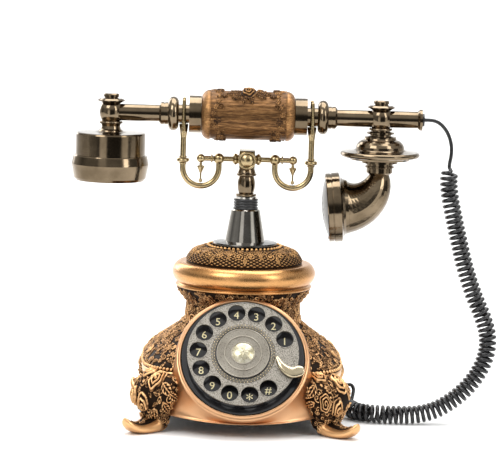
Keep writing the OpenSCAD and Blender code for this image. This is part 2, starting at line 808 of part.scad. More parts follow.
module spine_tube() {
    z1 = -receiver_x + tube_in_joint;
    z2 = mouth_x - tube_in_joint;
    color("gray") on_handset() translate([0, 0, z1]) ring(tube_r, tube_bore_r, z2 - z1);
}

// Urn-shaped joint with a socket at each side that takes a tube, and a bore down its middle
module joint(sides) {
    difference() {
        union() {
            barrel(joint_r, 6.6, joint_h);
            translate([0, 0, -joint_h / 2 - 0.8]) bead(joint_r + 0.1, 1.8);
        }
        for (s = sides) rotate([0, 90 * s, 0]) translate([0, 0, socket_depth])
            cylinder(r = tube_r + fit_gap, h = 20);
        translate([0, 0, -20]) cylinder(r = wire_r + fit_gap, h = 40);
    }
}

module receiver_joint() {
    color("gray") translate([-receiver_x, 0, handset_z]) joint([1]);
}

module transmitter_joint() {
    color("gray") translate([mouth_x, 0, handset_z]) joint([-1, 1]);
}

module cap_nuts() {
    z0 = joint_h / 2 + fit_gap;
    color("darkgray") for (x = [-receiver_x, mouth_x]) translate([x, 0, handset_z]) lathe([
        [0, 1], [wire_r, 1], [wire_r, z0], [7.2, z0], [10.3, z0 + 1.6], [10.3, z0 + 2.2], [8.6, z0 + 3.3],
        [5.2, z0 + 3.7], [5.2, z0 + 4.4], [5.9, z0 + 4.8], [5.9, cap_top - 1], [5.2, cap_top - 0.2], [0, cap_top]
    ]);
}

module receiver_shell() {
    z0 = -joint_h / 2 - 1.7 - fit_gap;
    r = receiver_r;
    color("dimgray") translate([-receiver_x, 0, handset_z]) lathe([
        [wire_r, z0], [7.6, z0], [7, z0 - 1.8], [7.6, z0 - 4], [9.6, z0 - 5.8], [12, z0 - 6.4], [r - 1.4, z0 - 6.6],
        [r - 0.4, z0 - 7], [r, z0 - 8], [r, -33], [r - 1.8, -33], [r - 1.8, z0 - 8.6], [wire_r, z0 - 8.6]
    ]);
}

module ear_cap() {
    r = receiver_r;
    color("dimgray") translate([-receiver_x, 0, handset_z]) difference() {
        lathe([
            [0, -50.4], [r - 4, -50.4], [r - 0.4, -51], [r + 1, -49], [r + 2.9, -38.8], [r + 1.6, -32.8], [r + 1.2, -32.2],
            [r + fit_gap, -32.2], [r + fit_gap, -33 - fit_gap], [r - 2.2, -33 - fit_gap], [r - 2.2, -48.2], [0, -48.2]
        ]);
        translate([0, 0, -52]) cylinder(r = 1.5, h = 6);
        for (a = [0 : 60 : 300]) rotate([0, 0, a]) translate([8, 0, -52]) cylinder(r = 1.5, h = 6);
    }
}

module receiver_capsule() {
    color("black") translate([-receiver_x, 0, handset_z]) {
        translate([0, 0, -48.2 + fit_gap]) cylinder(r = receiver_r - 4, h = 6);
        translate([0, 0, -42.3]) cylinder(r = 11, h = 5);
    }
}

module transmitter_bell() {
    z0 = -joint_h / 2 - 1.7 - fit_gap;
    r = brim_r;
    color("dimgray") translate([mouth_x, 0, handset_z]) lathe(concat(
        [[wire_r, z0], [7.2, z0], [7.2, z0 - 0.6], [10.4, z0 - 1.2], [10.4, z0 - 2.4], [8, z0 - 3.1], [8, z0 - 3.9],
         [11.9, z0 - 4.5], [11.9, z0 - 5.7]],
        [for (a = [80 : -16 : 0]) [11 + 7.4 * cos(a), -22.6 + 7.4 * sin(a)]],
        [[19.6, -23.4], [r - 4, -24.3]],
        [for (a = [80 : -20 : -80]) [r - 2.1 + 2.1 * cos(a), -26.4 + 2.1 * sin(a)]],
        [[r - 7, -28.6], [r - 7.4, -30.4], [0.47 * r, -30.8], [12, -30.8], [12, -20], [wire_r, -20]]
    ));
}

module transmitter_neck() {
    color("dimgray") translate([mouth_x, 0, handset_z]) lathe([
        [4, horn_top], [8.4, horn_top], [9.8, horn_top + 1.4], [9.8, -36.6], [11, -36.2], [11, -35.2], [10, -34.9],
        [10, -33.4], [13.4, -33], [13.4, neck_top - 0.6], [11.9, neck_top], [11.9, -26], [4, -26]
    ]);
}

// Curved horn: a bore and a wall that both widen along one bend
module transmitter_horn() {
    steps = 12;
    n = 32;
    function horn_ring(i, inset) =
        let (a = bend_angle * i / steps,
             r = horn_r0 + (horn_r1 - horn_r0) * pow(i / steps, 0.85) - inset,
             c = [bend_r * cos(a), 0, -bend_r * sin(a)])
        [for (k = [0 : n - 1]) let (b = 360 * k / n)
            c + r * cos(b) * [cos(a), 0, -sin(a)] + r * sin(b) * [0, 1, 0]];
    outer = [for (i = [0 : steps]) horn_ring(i, 0)];
    inner = [for (i = [steps : -1 : 0]) horn_ring(i, horn_wall)];
    loop = concat(outer, inner);
    m = len(loop);
    points = [for (r = loop) for (p = r) p];
    faces = [
        for (k = [0 : m - 1]) for (i = [0 : n - 1])
            let (j = (i + 1) % n, l = (k + 1) % m)
            [k * n + j, l * n + j, l * n + i, k * n + i]
    ];
    color("dimgray") translate([mouth_x - bend_r, 0, handset_z + horn_top - fit_gap])
        polyhedron(points = points, faces = faces, convexity = 8);
}

// Places children at the horn's mouth, with Z out of it
module at_mouth() {
    translate([mouth_x - bend_r + bend_r * cos(bend_angle), 0,
               handset_z + horn_top - fit_gap - bend_r * sin(bend_angle)])
        rotate([0, -90 - (90 - bend_angle), 0]) children();
}

module mouthpiece_ring() {
    r = mouth_r;
    color("gray") at_mouth() translate([0, 0, fit_gap]) lathe([
        [horn_r1 - horn_wall, 0], [horn_r1, 0], [horn_r1 + 0.7, 2.5], [r - 3.4, 4.2], [r - 0.8, 5.2], [r, 5.6],
        [r, 11], [r - 0.8, 11.2], [r - 0.8, 11.7], [r - 0.3, 11.9], [r - 0.3, 15.2], [r - 1, 15.8],
        [r - 2.2, 15.8], [r - 2.2, 6], [horn_r1 - horn_wall, 6]
    ]);
}

module mouth_grille() {
    edge_r = mouth_r - 2.3;
    rise = 4.6;
    dome = (edge_r * edge_r + rise * rise) / (2 * rise);
    color("dimgray") at_mouth() translate([0, 0, 15]) difference() {
        intersection() {
            translate([0, 0, rise - dome]) difference() {
                sphere(r = dome, $fn = 128);
                sphere(r = dome - 1.4, $fn = 128);
            }
            translate([0, 0, -0.6]) cylinder(r = edge_r, h = 10);
        }
        translate([0, 0, -over]) cylinder(r = 1, h = 10);
        for (a = [0 : 60 : 300]) rotate([0, 0, a]) translate([4.5, 0, -over]) cylinder(r = 1, h = 10);
        for (a = [0 : 30 : 330]) rotate([0, 0, a]) translate([9, 0, -over]) cylinder(r = 1, h = 10);
    }
}

module microphone_capsule() {
    color("black") at_mouth() translate([0, 0, 6 + 2 * fit_gap]) {
        cylinder(r = mouth_r - 2.2 - fit_gap, h = 3);
        cylinder(r = 13, h = 7);
    }
}

module end_tube() {
    z1 = mouth_x + tube_in_joint;
    z2 = z1 + end_tube_l;
    color("gray") on_handset() difference() {
        union() {
            translate([0, 0, z1]) cylinder(r = tube_r, h = z2 - z1);
            translate([0, 0, z2 - 0.6]) cylinder(r1 = tube_r, r2 = tube_r + 1.7, h = 1.6);
            translate([0, 0, z2 + 1]) cylinder(r = tube_r + 1.7, h = 1.9);
        }
        translate([0, 0, z1 - over]) cylinder(r = tube_bore_r, h = 40);
    }
}

module end_plug() {
    z2 = mouth_x + tube_in_joint + end_tube_l + 2.9;
    color("black") on_handset() translate([0, 0, z2 - 8]) ring(tube_bore_r - fit_gap, cord_r + run_gap, 9.6);
}

/* Rest of the base */

module circuit_board() {
    board_z = plate_top + 5;
    color("green") {
        translate([-62, -10, board_z]) cube([34, 52, 1.6]);
        for (x = [-58, -34]) for (y = [-6, 38]) translate([x, y, plate_top]) cylinder(r = 2, h = 5.2);
        for (y = [0, 9, 18]) translate([-50, y, board_z + 1]) cylinder(r = 3, h = 9);
        translate([-42, 22, board_z + 1]) cube([9, 12, 3]);
    }
}

gong_x = 19;
gong_y = 40;
gong_r = 15;
ringer_z = plate_top;
gong_z = ringer_z + 10;
gong_hub = 7.4;
clapper_y = 20;

module ringer_frame() {
    color("silver") {
        difference() {
            translate([-24, 11, ringer_z]) cube([48, 34, 2]);
            translate([0, clapper_y, ringer_z - over]) cylinder(r = 1 + run_gap, h = 8);
        }
        for (s = [-1, 1]) translate([s * gong_x, gong_y, ringer_z + 1]) {
            cylinder(r = 2, h = 10 + gong_hub + 2);
            cylinder(r = 3, h = 9 + gong_hub - fit_gap);
        }
        for (s = [-1, 1]) translate([s * 16 - 1, 11, ringer_z + 1]) cube([2, 6, 14]);
    }
}

module ringer_coil() {
    color("orangered") translate([0, 14, ringer_z + 10]) rotate([0, 90, 0]) {
        cylinder(r = 2.5, h = 2 * (15 - fit_gap), center = true);
        cylinder(r = 5, h = 24, center = true);
    }
}

// Two cups, open downwards, on posts
module ringer_gongs() {
    color("gold") for (s = [-1, 1]) translate([s * gong_x, gong_y, gong_z]) difference() {
        lathe([[2 + fit_gap, gong_hub + 1.6], [6, 8.6], [11, 6.6], [14, 3.6], [gong_r, 0], [gong_r - 1.4, 0],
               [12.6, 3], [10, 5.4], [6, gong_hub - 0.2], [4, gong_hub], [2 + fit_gap, gong_hub]]);
        translate([0, 0, -over]) cylinder(r = 2 + fit_gap, h = 12);
    }
}

module ringer_clapper() {
    color("silver") {
        translate([0, clapper_y, ringer_z + 0.2]) cylinder(r = 1, h = 4.4);
        translate([0, clapper_y, ringer_z + 2.3]) cylinder(r = 2.5, h = 2.2);
        translate([-0.6, clapper_y, ringer_z + 2.5]) cube([1.2, gong_y - clapper_y, 1.2]);
        translate([0, gong_y, ringer_z + 2.4]) cylinder(r = 1, h = 8.6);
        translate([0, gong_y, gong_z + 1]) sphere(r = 2.2);
    }
}

// Block with an open socket in its outer face
module jack(size, cavity_w) {
    difference() {
        translate([-size[0] / 2, -size[1], -size[2] / 2]) cube(size);
        translate([-cavity_w / 2, -socket_depth_in, -socket_h / 2]) cube([cavity_w, size[1], socket_h]);
    }
}

module handset_jack() {
    color("black") translate([skirt_in + 0.2, jack_y, jack_z]) rotate([0, 0, -90]) jack(jack_size, socket_w);
}

module line_jack() {
    color("black") translate([line_x, skirt_in + 0.2, jack_z]) jack(line_size, socket_w + 1.8);
}

// Slider in a slot of the back wall, with a wider foot behind the wall
module ringer_switch() {
    foot = [volume_knob + 3.6, 2.2, volume_knob + 3.8];
    foot_y = skirt_in - wall - 4.2;
    color("black") translate([volume_x - volume_travel / 2, 0, jack_z]) {
        translate([-foot[0] / 2, foot_y, -foot[2] / 2]) cube(foot);
        translate([-volume_knob / 2, foot_y + 1, -volume_knob / 2]) cube([volume_knob, 9, volume_knob]);
    }
}

module cord_lead() {
    color("black") cord_tube(LEAD, cord_r, 8);
}

module cord_curl() {
    color("black") cord_tube(CURL, curl_r, 10);
}

module cord_tail() {
    color("black") cord_tube(TAIL, cord_r, 8);
}

module cord_plug() {
    plug_w = socket_w - 0.2;
    plug_h = socket_h - 0.2;
    color("gray") translate([skirt_in + 0.2 - socket_depth_in + 0.3, jack_y - plug_w / 2, jack_z - plug_h / 2])
        cube([19, plug_w, plug_h]);
}

body_shell();
crown();
bottom_plate();
rubber_feet();
case_screws();
ballast_weight();
dial_housing();
number_plate();
finger_stop();
dial_frame();
return_spring();
pulse_contacts();
post_cone();
guide_collar();
collar_ring();
circuit_board();
hook_bracket();
hook_switch();
ringer_frame();
ringer_coil();
ringer_gongs();
handset_jack();
line_jack();
cradle_post();
cradle_block();
boss_caps();
cradle_arm_left();
cradle_arm_right();
arm_pendants();
plunger_spring();
switch_lever();
finger_plate();
center_disc();
dial_shaft();
main_gear();
governor_rotor();
ringer_clapper();
ringer_switch();
grip_barrel();
grip_ferrules();
tube_collars();
spine_tube();
receiver_joint();
transmitter_joint();
cap_nuts();
receiver_shell();
ear_cap();
receiver_capsule();
transmitter_bell();
transmitter_neck();
transmitter_horn();
mouthpiece_ring();
mouth_grille();
microphone_capsule();
end_tube();
end_plug();
cord_lead();
cord_curl();
cord_tail();
cord_plug();
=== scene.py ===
"""Rotary telephone with an ornate cast base: the looks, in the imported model's frame.

Lengths are millimetres until a mesh is made, where MM turns them into metres. The camera, the lights and
the depths of bumps are in metres.
"""
import math

import bmesh
import bpy
import numpy as np
from mathutils import Matrix, Vector


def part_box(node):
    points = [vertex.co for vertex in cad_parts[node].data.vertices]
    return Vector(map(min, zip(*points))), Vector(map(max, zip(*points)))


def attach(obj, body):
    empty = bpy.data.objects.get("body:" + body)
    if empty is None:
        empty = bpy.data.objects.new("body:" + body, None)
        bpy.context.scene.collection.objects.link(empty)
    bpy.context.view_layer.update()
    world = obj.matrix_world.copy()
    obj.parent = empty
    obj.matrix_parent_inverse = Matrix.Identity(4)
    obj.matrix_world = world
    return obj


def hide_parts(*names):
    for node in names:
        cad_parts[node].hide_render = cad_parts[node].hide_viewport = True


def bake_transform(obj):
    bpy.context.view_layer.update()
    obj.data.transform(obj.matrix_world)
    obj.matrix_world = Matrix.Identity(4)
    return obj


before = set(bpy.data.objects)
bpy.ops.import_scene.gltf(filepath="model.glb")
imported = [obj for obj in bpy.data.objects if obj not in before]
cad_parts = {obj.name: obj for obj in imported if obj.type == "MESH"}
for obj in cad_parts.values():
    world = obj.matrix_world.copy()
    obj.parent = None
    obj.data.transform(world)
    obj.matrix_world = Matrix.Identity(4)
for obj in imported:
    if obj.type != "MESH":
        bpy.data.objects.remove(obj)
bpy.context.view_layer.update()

MM = 0.001
TAU = 2 * math.pi
rng = np.random.default_rng(7)


def box_mm(node):
    """Lowest and highest corner of a CAD node, in millimetres."""
    low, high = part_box(node)
    return np.array(low) / MM, np.array(high) / MM


# ---------------------------------------------------------------- places, from the frame

CROWN_LOW, CROWN_HIGH = box_mm("crown")
LIP_Z = CROWN_LOW[2]
CROWN_TOP = CROWN_HIGH[2]
CROWN_R = CROWN_HIGH[0]
SKIRT_IN = box_mm("handset_jack")[1][0] - 0.2
SKIRT_W = SKIRT_IN + 4
SKIRT_Z = box_mm("bottom_plate")[0][2] - 1
EDGE_Z = 42.4
WAIST_R = 43.2
HANDSET_Z = (box_mm("spine_tube")[0][2] + box_mm("spine_tube")[1][2]) / 2
PLATE_R = box_mm("finger_plate")[1][0]
HOUSING_R = box_mm("dial_housing")[1][0]
BEZEL_R = HOUSING_R + 2.7
DIAL_TILT = math.radians(57)
DIAL_Y = -(SKIRT_W - 1.5)
DIAL_Z = SKIRT_Z + BEZEL_R * math.sin(DIAL_TILT) + 4.8
DIAL = Matrix.Translation((0, DIAL_Y, DIAL_Z)) @ Matrix.Rotation(DIAL_TILT, 4, "X")
DIAL_R = np.array(DIAL.to_3x3())
DIAL_T = np.array(DIAL.translation)
HOLE_R = 6.45
HOLE_AT = PLATE_R - HOLE_R - 1.65
FIRST_HOLE = 22
HOLE_STEP = 25.75


# ---------------------------------------------------------------- mesh helpers

def new_object(name, points, faces, body, mat=None, smooth=True):
    """Mesh object from points in millimetres, riding on a body."""
    mesh = bpy.data.meshes.new(name)
    mesh.from_pydata((np.asarray(points, float) * MM).tolist(), [], faces)
    mesh.update()
    if smooth:
        mesh.polygons.foreach_set("use_smooth", [True] * len(mesh.polygons))
    obj = bpy.data.objects.new(name, mesh)
    bpy.context.collection.objects.link(obj)
    if mat:
        mesh.materials.append(mat)
    if body:
        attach(obj, body)
    return obj


def grid_faces(rows, cols, wrap=True, start=0, flip=False):
    """Quads of a grid of points, row by row, its columns closed into a ring when wrap is set."""
    last = cols if wrap else cols - 1
    r, c = np.meshgrid(np.arange(rows - 1), np.arange(last), indexing="ij")
    n = (c + 1) % cols
    quads = np.stack([r * cols + c, r * cols + n, (r + 1) * cols + n, (r + 1) * cols + c], -1).reshape(-1, 4)
    if flip:
        quads = quads[:, ::-1]
    return (quads + start).tolist()


def grid_object(name, points, body, mat, wrap=True, flip=False, relief=None, caps=False):
    """Object from a rows x cols x 3 array, with an optional relief value at each point."""
    rows, cols = points.shape[:2]
    faces = grid_faces(rows, cols, wrap, flip=flip)
    if caps:
        low = list(range(cols))
        high = [(rows - 1) * cols + i for i in range(cols)]
        faces += [low[::-1], high] if not flip else [low, high[::-1]]
    obj = new_object(name, points.reshape(-1, 3), faces, body, mat)
    if relief is not None:
        layer = obj.data.attributes.new("relief", "FLOAT", "POINT")
        layer.data.foreach_set("value", np.asarray(relief, np.float32).reshape(-1))
    return obj


def lathe_points(outline, n=128):
    """Outline of (radius, height) turned around Z: one ring of points for each of its own."""
    outline = np.asarray(outline, float)
    a = np.arange(n) * TAU / n
    ring = np.stack([np.cos(a), np.sin(a), np.zeros(n)], -1)
    return outline[:, None, :1] * ring[None] + np.array([0, 0, 1.0]) * outline[:, None, 1:]


def lathe(name, outline, body, mat, n=128, place=None):
    """Turned piece from a closed outline that runs counter-clockwise in (radius, height)."""
    points = lathe_points(list(outline) + [outline[0]], n)
    if place is not None:
        points = move(points, place)
    return grid_object(name, points, body, mat)


def oval(r, z, half_w, half_h, n):
    """Closed oval outline around (r, z)."""
    turns = np.linspace(0, TAU, n, endpoint=False)
    return [(r + half_w * math.cos(t), z + half_h * math.sin(t)) for t in turns]


def turned(r, z, phi):
    """Grid of points with one radius and one height for each row, around Z."""
    tall = np.broadcast_to(z[:, None], (len(r), len(phi)))
    return np.stack([r[:, None] * np.cos(phi), r[:, None] * np.sin(phi), tall], -1)


def distance_along(points):
    """Distance of each point from the first, along the line."""
    return np.concatenate([[0], np.cumsum(np.linalg.norm(np.diff(points, axis=0), axis=1))])


def unit_tangents(points):
    """Unit direction of a line at each of its points."""
    t = np.gradient(points, axis=0)
    return t / np.linalg.norm(t, axis=1)[:, None]


def at_share(points, share):
    """Points of a line at shares of its point count, between its points where needed."""
    pick = share * (len(points) - 1)
    return np.stack([np.interp(pick, np.arange(len(points)), points[:, k]) for k in range(3)], -1)


def move(points, matrix):
    """Points in millimetres through a 4 x 4 matrix."""
    m = np.array(matrix)
    return points @ m[:3, :3].T + m[:3, 3]


def arc(cx, cy, r, a0, a1, n):
    """Points of an arc, its angles in degrees."""
    a = np.radians(np.linspace(a0, a1, n))
    return [(cx + r * math.cos(t), cy + r * math.sin(t)) for t in a]


def sweep(points, radius, sides=12):
    """Rings of a round tube along points, turned as little as possible from one to the next."""
    p = np.asarray(points, float)
    t = unit_tangents(p)
    u = np.cross(t[0], [0, 1, 0.35])
    rings = []
    a = np.arange(sides) * TAU / sides
    r = np.broadcast_to(np.asarray(radius, float), len(p))
    for i, (c, d) in enumerate(zip(p, t)):
        u = u - d * (u @ d)
        u /= np.linalg.norm(u)
        v = np.cross(d, u)
        rings.append(c + r[i] * (np.cos(a)[:, None] * u + np.sin(a)[:, None] * v))
    return np.array(rings)


def smooth_curve(points, step):
    """Evenly spaced points of a smooth curve through the given ones (Catmull-Rom)."""
    p = np.asarray(points, float)
    p = np.vstack([2 * p[0] - p[1], p, 2 * p[-1] - p[-2]])
    out = []
    for i in range(1, len(p) - 2):
        t = np.linspace(0, 1, 24, endpoint=False)[:, None]
        a, b, c, d = p[i - 1], p[i], p[i + 1], p[i + 2]
        out.append(0.5 * (2 * b + (c - a) * t + (2 * a - 5 * b + 4 * c - d) * t ** 2
                          + (3 * b - a - 3 * c + d) * t ** 3))
    out = np.vstack(out + [p[-2][None]])
    along = distance_along(out)
    n = max(4, int(round(along[-1] / step)) + 1)
    at = np.linspace(0, along[-1], n)
    return np.stack([np.interp(at, along, out[:, k]) for k in range(3)], -1)


# ---------------------------------------------------------------- materials

class Nodes:
    """Short ways to add nodes to a node tree."""

    def __init__(self, tree):
        self.tree = tree

    def add(self, kind, **values):
        node = self.tree.nodes.new(kind)
        for key, value in values.items():
            if key in node.inputs:
                node.inputs[key].default_value = value
            else:
                setattr(node, key, value)
        return node

    def link(self, source, target):
        self.tree.links.new(source, target)

    def ramp(self, value, stops):
        """Colour ramp over stops of (position, colour)."""
        node = self.add("ShaderNodeValToRGB")
        ramp = node.color_ramp
        while len(ramp.elements) < len(stops):
            ramp.elements.new(0.5)
        for element, (pos, colour) in zip(ramp.elements, stops):
            element.position = pos
            element.color = (*colour, 1)
        self.link(value, node.inputs["Fac"])
        return node.outputs["Color"]

    def range(self, value, low, high, start=0.0, end=1.0, **more):
        node = self.add("ShaderNodeMapRange", **{"From Min": start, "From Max": end,
                                                 "To Min": low, "To Max": high}, **more)
        self.link(value, node.inputs["Value"])
        return node.outputs["Result"]

    def math(self, kind, *values):
        node = self.add("ShaderNodeMath", operation=kind)
        for socket, value in zip(node.inputs, values):
            if isinstance(value, (int, float)):
                socket.default_value = value
            else:
                self.link(value, socket)
        return node.outputs[0]


class Paint(Nodes):
    """A node material with one glossy shader, built up by its methods."""

    def __init__(self, name, metallic=1.0, roughness=0.3):
        self.mat = bpy.data.materials.new(name)
        self.mat.use_nodes = True
        super().__init__(self.mat.node_tree)
        self.shader = self.tree.nodes["Principled BSDF"]
        self.set("Metallic", metallic)
        self.set("Roughness", roughness)
        self.place = self.add("ShaderNodeTexCoord").outputs["Object"]
        self.mat.diffuse_color = (0.5, 0.4, 0.3, 1)

    def set(self, socket, value):
        self.shader.inputs[socket].default_value = value

    def noise(self, scale, detail=4, rough=0.55, stretch=None):
        """Noise value over the object, its scale in cells per metre."""
        node = self.add("ShaderNodeTexNoise", Scale=scale, Detail=detail, Roughness=rough)
        place = self.place
        if stretch:
            mapping = self.add("ShaderNodeMapping", Scale=stretch)
            self.link(place, mapping.inputs["Vector"])
            place = mapping.outputs["Vector"]
        self.link(place, node.inputs["Vector"])
        return node.outputs["Fac"]

    def relief(self):
        """Value stored on the mesh: 0 in a hollow, about 1 on a ridge."""
        return self.add("ShaderNodeAttribute", attribute_name="relief").outputs["Fac"]

    def colour(self, source):
        self.link(source, self.shader.inputs["Base Color"])

    def rough(self, source):
        self.link(source, self.shader.inputs["Roughness"])

    def bump(self, value, distance, strength=1.0):
        node = self.add("ShaderNodeBump", Distance=distance, Strength=strength)
        self.link(value, node.inputs["Height"])
        self.link(node.outputs["Normal"], self.shader.inputs["Normal"])


def mottled(name, dark, light, rough=(0.2, 0.35), metallic=1.0, scale=60, fine=900, depth=0.00004, coat=0.0):
    """Material whose colour drifts between two tones, with fine wear in its gloss and surface."""
    p = Paint(name, metallic)
    p.colour(p.ramp(p.noise(scale, 5), [(0.32, dark), (0.68, light)]))
    grain = p.noise(fine, 6, 0.65)
    p.rough(p.range(grain, rough[0], rough[1], 0.3, 0.7))
    p.bump(grain, depth, 0.5)
    if coat:
        p.set("Coat Weight", coat)
        p.set("Coat Roughness", 0.08)
    return p.mat


def relief_gold(name, dark, mid, light, gloss=0.3):
    """Cast bronze whose hollows stay dark and whose ridges are rubbed bright."""
    p = Paint(name, 0.95)
    wear = p.math("MULTIPLY_ADD", p.noise(240, 6, 0.7), 0.34, -0.17)
    level = p.math("ADD", p.relief(), wear)
    p.colour(p.ramp(level, [(0.14, dark), (0.36, mid), (0.68, light)]))
    p.rough(p.range(level, 0.62, gloss, 0.15, 0.75))
    p.bump(p.noise(1300, 5, 0.7), 0.00007, 0.45)
    return p.mat


def brushed(name, dark, light, stretch, rough=(0.22, 0.4)):
    """Metal drawn in one direction."""
    p = Paint(name, 1.0)
    p.colour(p.ramp(p.noise(120, 6, 0.6, stretch), [(0.3, dark), (0.7, light)]))
    p.rough(p.range(p.noise(420, 4, 0.6, stretch), rough[0], rough[1], 0.3, 0.7))
    p.bump(p.noise(900, 4, 0.6, stretch), 0.00003, 0.5)
    return p.mat


def make_materials():
    m = {}
    m["brass"] = mottled("antique_brass", (0.115, 0.085, 0.053), (0.215, 0.163, 0.106), (0.08, 0.16),
                         scale=55)
    m["dark_brass"] = mottled("dark_brass", (0.040, 0.034, 0.028), (0.075, 0.064, 0.052), (0.2, 0.3),
                              scale=70)
    m["hook"] = mottled("hook_brass", (0.30, 0.225, 0.115), (0.44, 0.34, 0.19), (0.18, 0.30), scale=90)
    m["nickel"] = mottled("black_nickel", (0.27, 0.25, 0.22), (0.40, 0.375, 0.34), (0.05, 0.10), scale=45)
    m["flange"] = mottled("dark_nickel", (0.045, 0.042, 0.038), (0.085, 0.08, 0.073), (0.16, 0.24), scale=45)
    m["bright"] = mottled("bright_ring", (0.60, 0.57, 0.52), (0.74, 0.71, 0.66), (0.12, 0.22))
    m["band"] = mottled("band_bronze", (0.47, 0.235, 0.085), (0.58, 0.31, 0.125), (0.24, 0.34), scale=38)
    m["panel"] = mottled("panel_bronze", (0.52, 0.285, 0.145), (0.62, 0.355, 0.19), (0.28, 0.4), scale=32)
    m["relief"] = relief_gold("cast_bronze", (0.018, 0.010, 0.006), (0.21, 0.105, 0.045), (0.70, 0.41, 0.19))
    m["dome"] = relief_gold("dome_bronze", (0.022, 0.012, 0.007), (0.20, 0.105, 0.04), (0.52, 0.29, 0.115))
    m["grip"] = grip_material()
    m["black"] = mottled("black_plastic", (0.012, 0.012, 0.013), (0.022, 0.022, 0.023), (0.32, 0.46), 0.0, 80)
    m["gloss"] = mottled("gloss_black", (0.008, 0.008, 0.009), (0.014, 0.013, 0.014), (0.12, 0.22), 0.0, 60,
                         coat=0.4)
    m["cord"] = mottled("cord_black", (0.007, 0.007, 0.008), (0.013, 0.013, 0.014), (0.2, 0.3), 0.0, 200)
    m["rubber"] = mottled("black_rubber", (0.016, 0.016, 0.016), (0.028, 0.027, 0.027), (0.6, 0.8), 0.0, 150)
    m["silver"] = stippled_silver()
    m["disc"] = mottled("disc_silver", (0.27, 0.245, 0.205), (0.36, 0.33, 0.28), (0.24, 0.36), scale=70)
    m["dark_band"] = mottled("dark_silver", (0.10, 0.09, 0.075), (0.17, 0.155, 0.13), (0.4, 0.55), scale=200)
    m["pearl"] = pearl()
    m["stop"] = mottled("champagne", (0.42, 0.35, 0.23), (0.56, 0.48, 0.34), (0.16, 0.26), scale=110)
    m["digit"] = mottled("digit_gold", (0.72, 0.62, 0.34), (0.86, 0.77, 0.48), (0.35, 0.45), 0.3, 300)
    m["steel"] = brushed("grey_steel", (0.36, 0.37, 0.38), (0.55, 0.56, 0.57), (1, 9, 1))
    m["yellow"] = brushed("yellow_brass", (0.55, 0.41, 0.18), (0.74, 0.58, 0.30), (9, 1, 1))
    m["board"] = mottled("green_board", (0.015, 0.10, 0.035), (0.03, 0.17, 0.06), (0.25, 0.4), 0.0, 120,
                         coat=0.3)
    m["copper"] = brushed("copper_wire", (0.42, 0.17, 0.08), (0.62, 0.30, 0.16), (40, 1, 1))
    m["clear"] = mottled("clear_plug", (0.20, 0.20, 0.21), (0.32, 0.32, 0.33), (0.08, 0.15), 0.0, 90,
                         coat=0.5)
    return m


def grip_material():
    """Dark streaked wood tones in the hollows, gold on the ridges."""
    p = Paint("wood_resin", 0.8)
    streak = p.noise(85, 8, 0.8, (1, 9, 9))
    level = p.math("ADD", p.math("MULTIPLY_ADD", streak, 2.0, -1.0), p.relief())
    p.colour(p.ramp(level, [(0.08, (0.022, 0.011, 0.006)), (0.34, (0.11, 0.052, 0.018)),
                            (0.60, (0.27, 0.135, 0.05)), (0.9, (0.52, 0.285, 0.105))]))
    p.rough(p.range(level, 0.6, 0.3))
    p.bump(p.noise(600, 6, 0.7, (1, 5, 5)), 0.00012, 0.6)
    return p.mat


def stippled_silver():
    """Antique silver with a fine raised grain."""
    p = Paint("antique_silver", 1.0)
    cells = p.add("ShaderNodeTexVoronoi", Scale=1250.0)
    p.link(p.place, cells.inputs["Vector"])
    dots = cells.outputs["Distance"]
    p.colour(p.ramp(dots, [(0.05, (0.44, 0.41, 0.36)), (0.45, (0.33, 0.305, 0.265)),
                             (0.75, (0.15, 0.135, 0.115))]))
    p.rough(p.range(dots, 0.28, 0.5))
    p.bump(p.range(dots, 1.0, 0.0), 0.00010, 0.8)
    return p.mat


def pearl():
    """Pale domed medallion with cloudy light in it."""
    p = Paint("pearl", 0.6)
    p.colour(p.ramp(p.noise(210, 5, 0.6), [(0.3, (0.26, 0.23, 0.12)), (0.5, (0.46, 0.42, 0.30)),
                                           (0.68, (0.66, 0.63, 0.54))]))
    p.rough(p.range(p.noise(500, 4), 0.22, 0.36, 0.3, 0.7))
    p.bump(p.noise(260, 3), 0.0001, 0.5)
    return p.mat


M = make_materials()


# ---------------------------------------------------------------- camera and light

CAMERA_DISTANCE = 2.2
CAMERA_HEIGHT = 0.41
CAMERA_AZIMUTH = math.radians(-0.8)
CAMERA_OFF_AXIS = 0.00165
CAMERA_PITCH = math.radians(6.87)
CAMERA_ROLL = math.radians(1.62)
FOCAL_PIXELS = 2948
IMAGE_WIDTH = 500
SENSOR = 36
LAMP_AIM = Vector((0, 0, 0.13))


def make_camera():
    data = bpy.data.cameras.new("camera")
    data.sensor_width = SENSOR
    data.lens = FOCAL_PIXELS / IMAGE_WIDTH * SENSOR
    data.clip_start = 0.05
    data.clip_end = 30
    cam = bpy.data.objects.new("camera", data)
    bpy.context.collection.objects.link(cam)
    cam.location = (CAMERA_DISTANCE * math.sin(CAMERA_AZIMUTH), -CAMERA_DISTANCE * math.cos(CAMERA_AZIMUTH),
                    CAMERA_HEIGHT)
    yaw = Matrix.Rotation(CAMERA_AZIMUTH - CAMERA_OFF_AXIS, 4, "Z")
    tilt = Matrix.Rotation(math.pi / 2 - CAMERA_PITCH, 4, "X")
    roll = Matrix.Rotation(CAMERA_ROLL, 4, "Z")
    cam.rotation_euler = (yaw @ tilt @ roll).to_euler()
    bpy.context.scene.camera = cam


def area_light(name, place, size, power):
    """Soft white rectangle of light turned towards the telephone."""
    data = bpy.data.lights.new(name, "AREA")
    data.shape = "RECTANGLE"
    data.size, data.size_y = size
    data.energy = power
    lamp = bpy.data.objects.new(name, data)
    bpy.context.collection.objects.link(lamp)
    lamp.location = place
    lamp.rotation_euler = (LAMP_AIM - Vector(place)).to_track_quat("-Z", "Y").to_euler()


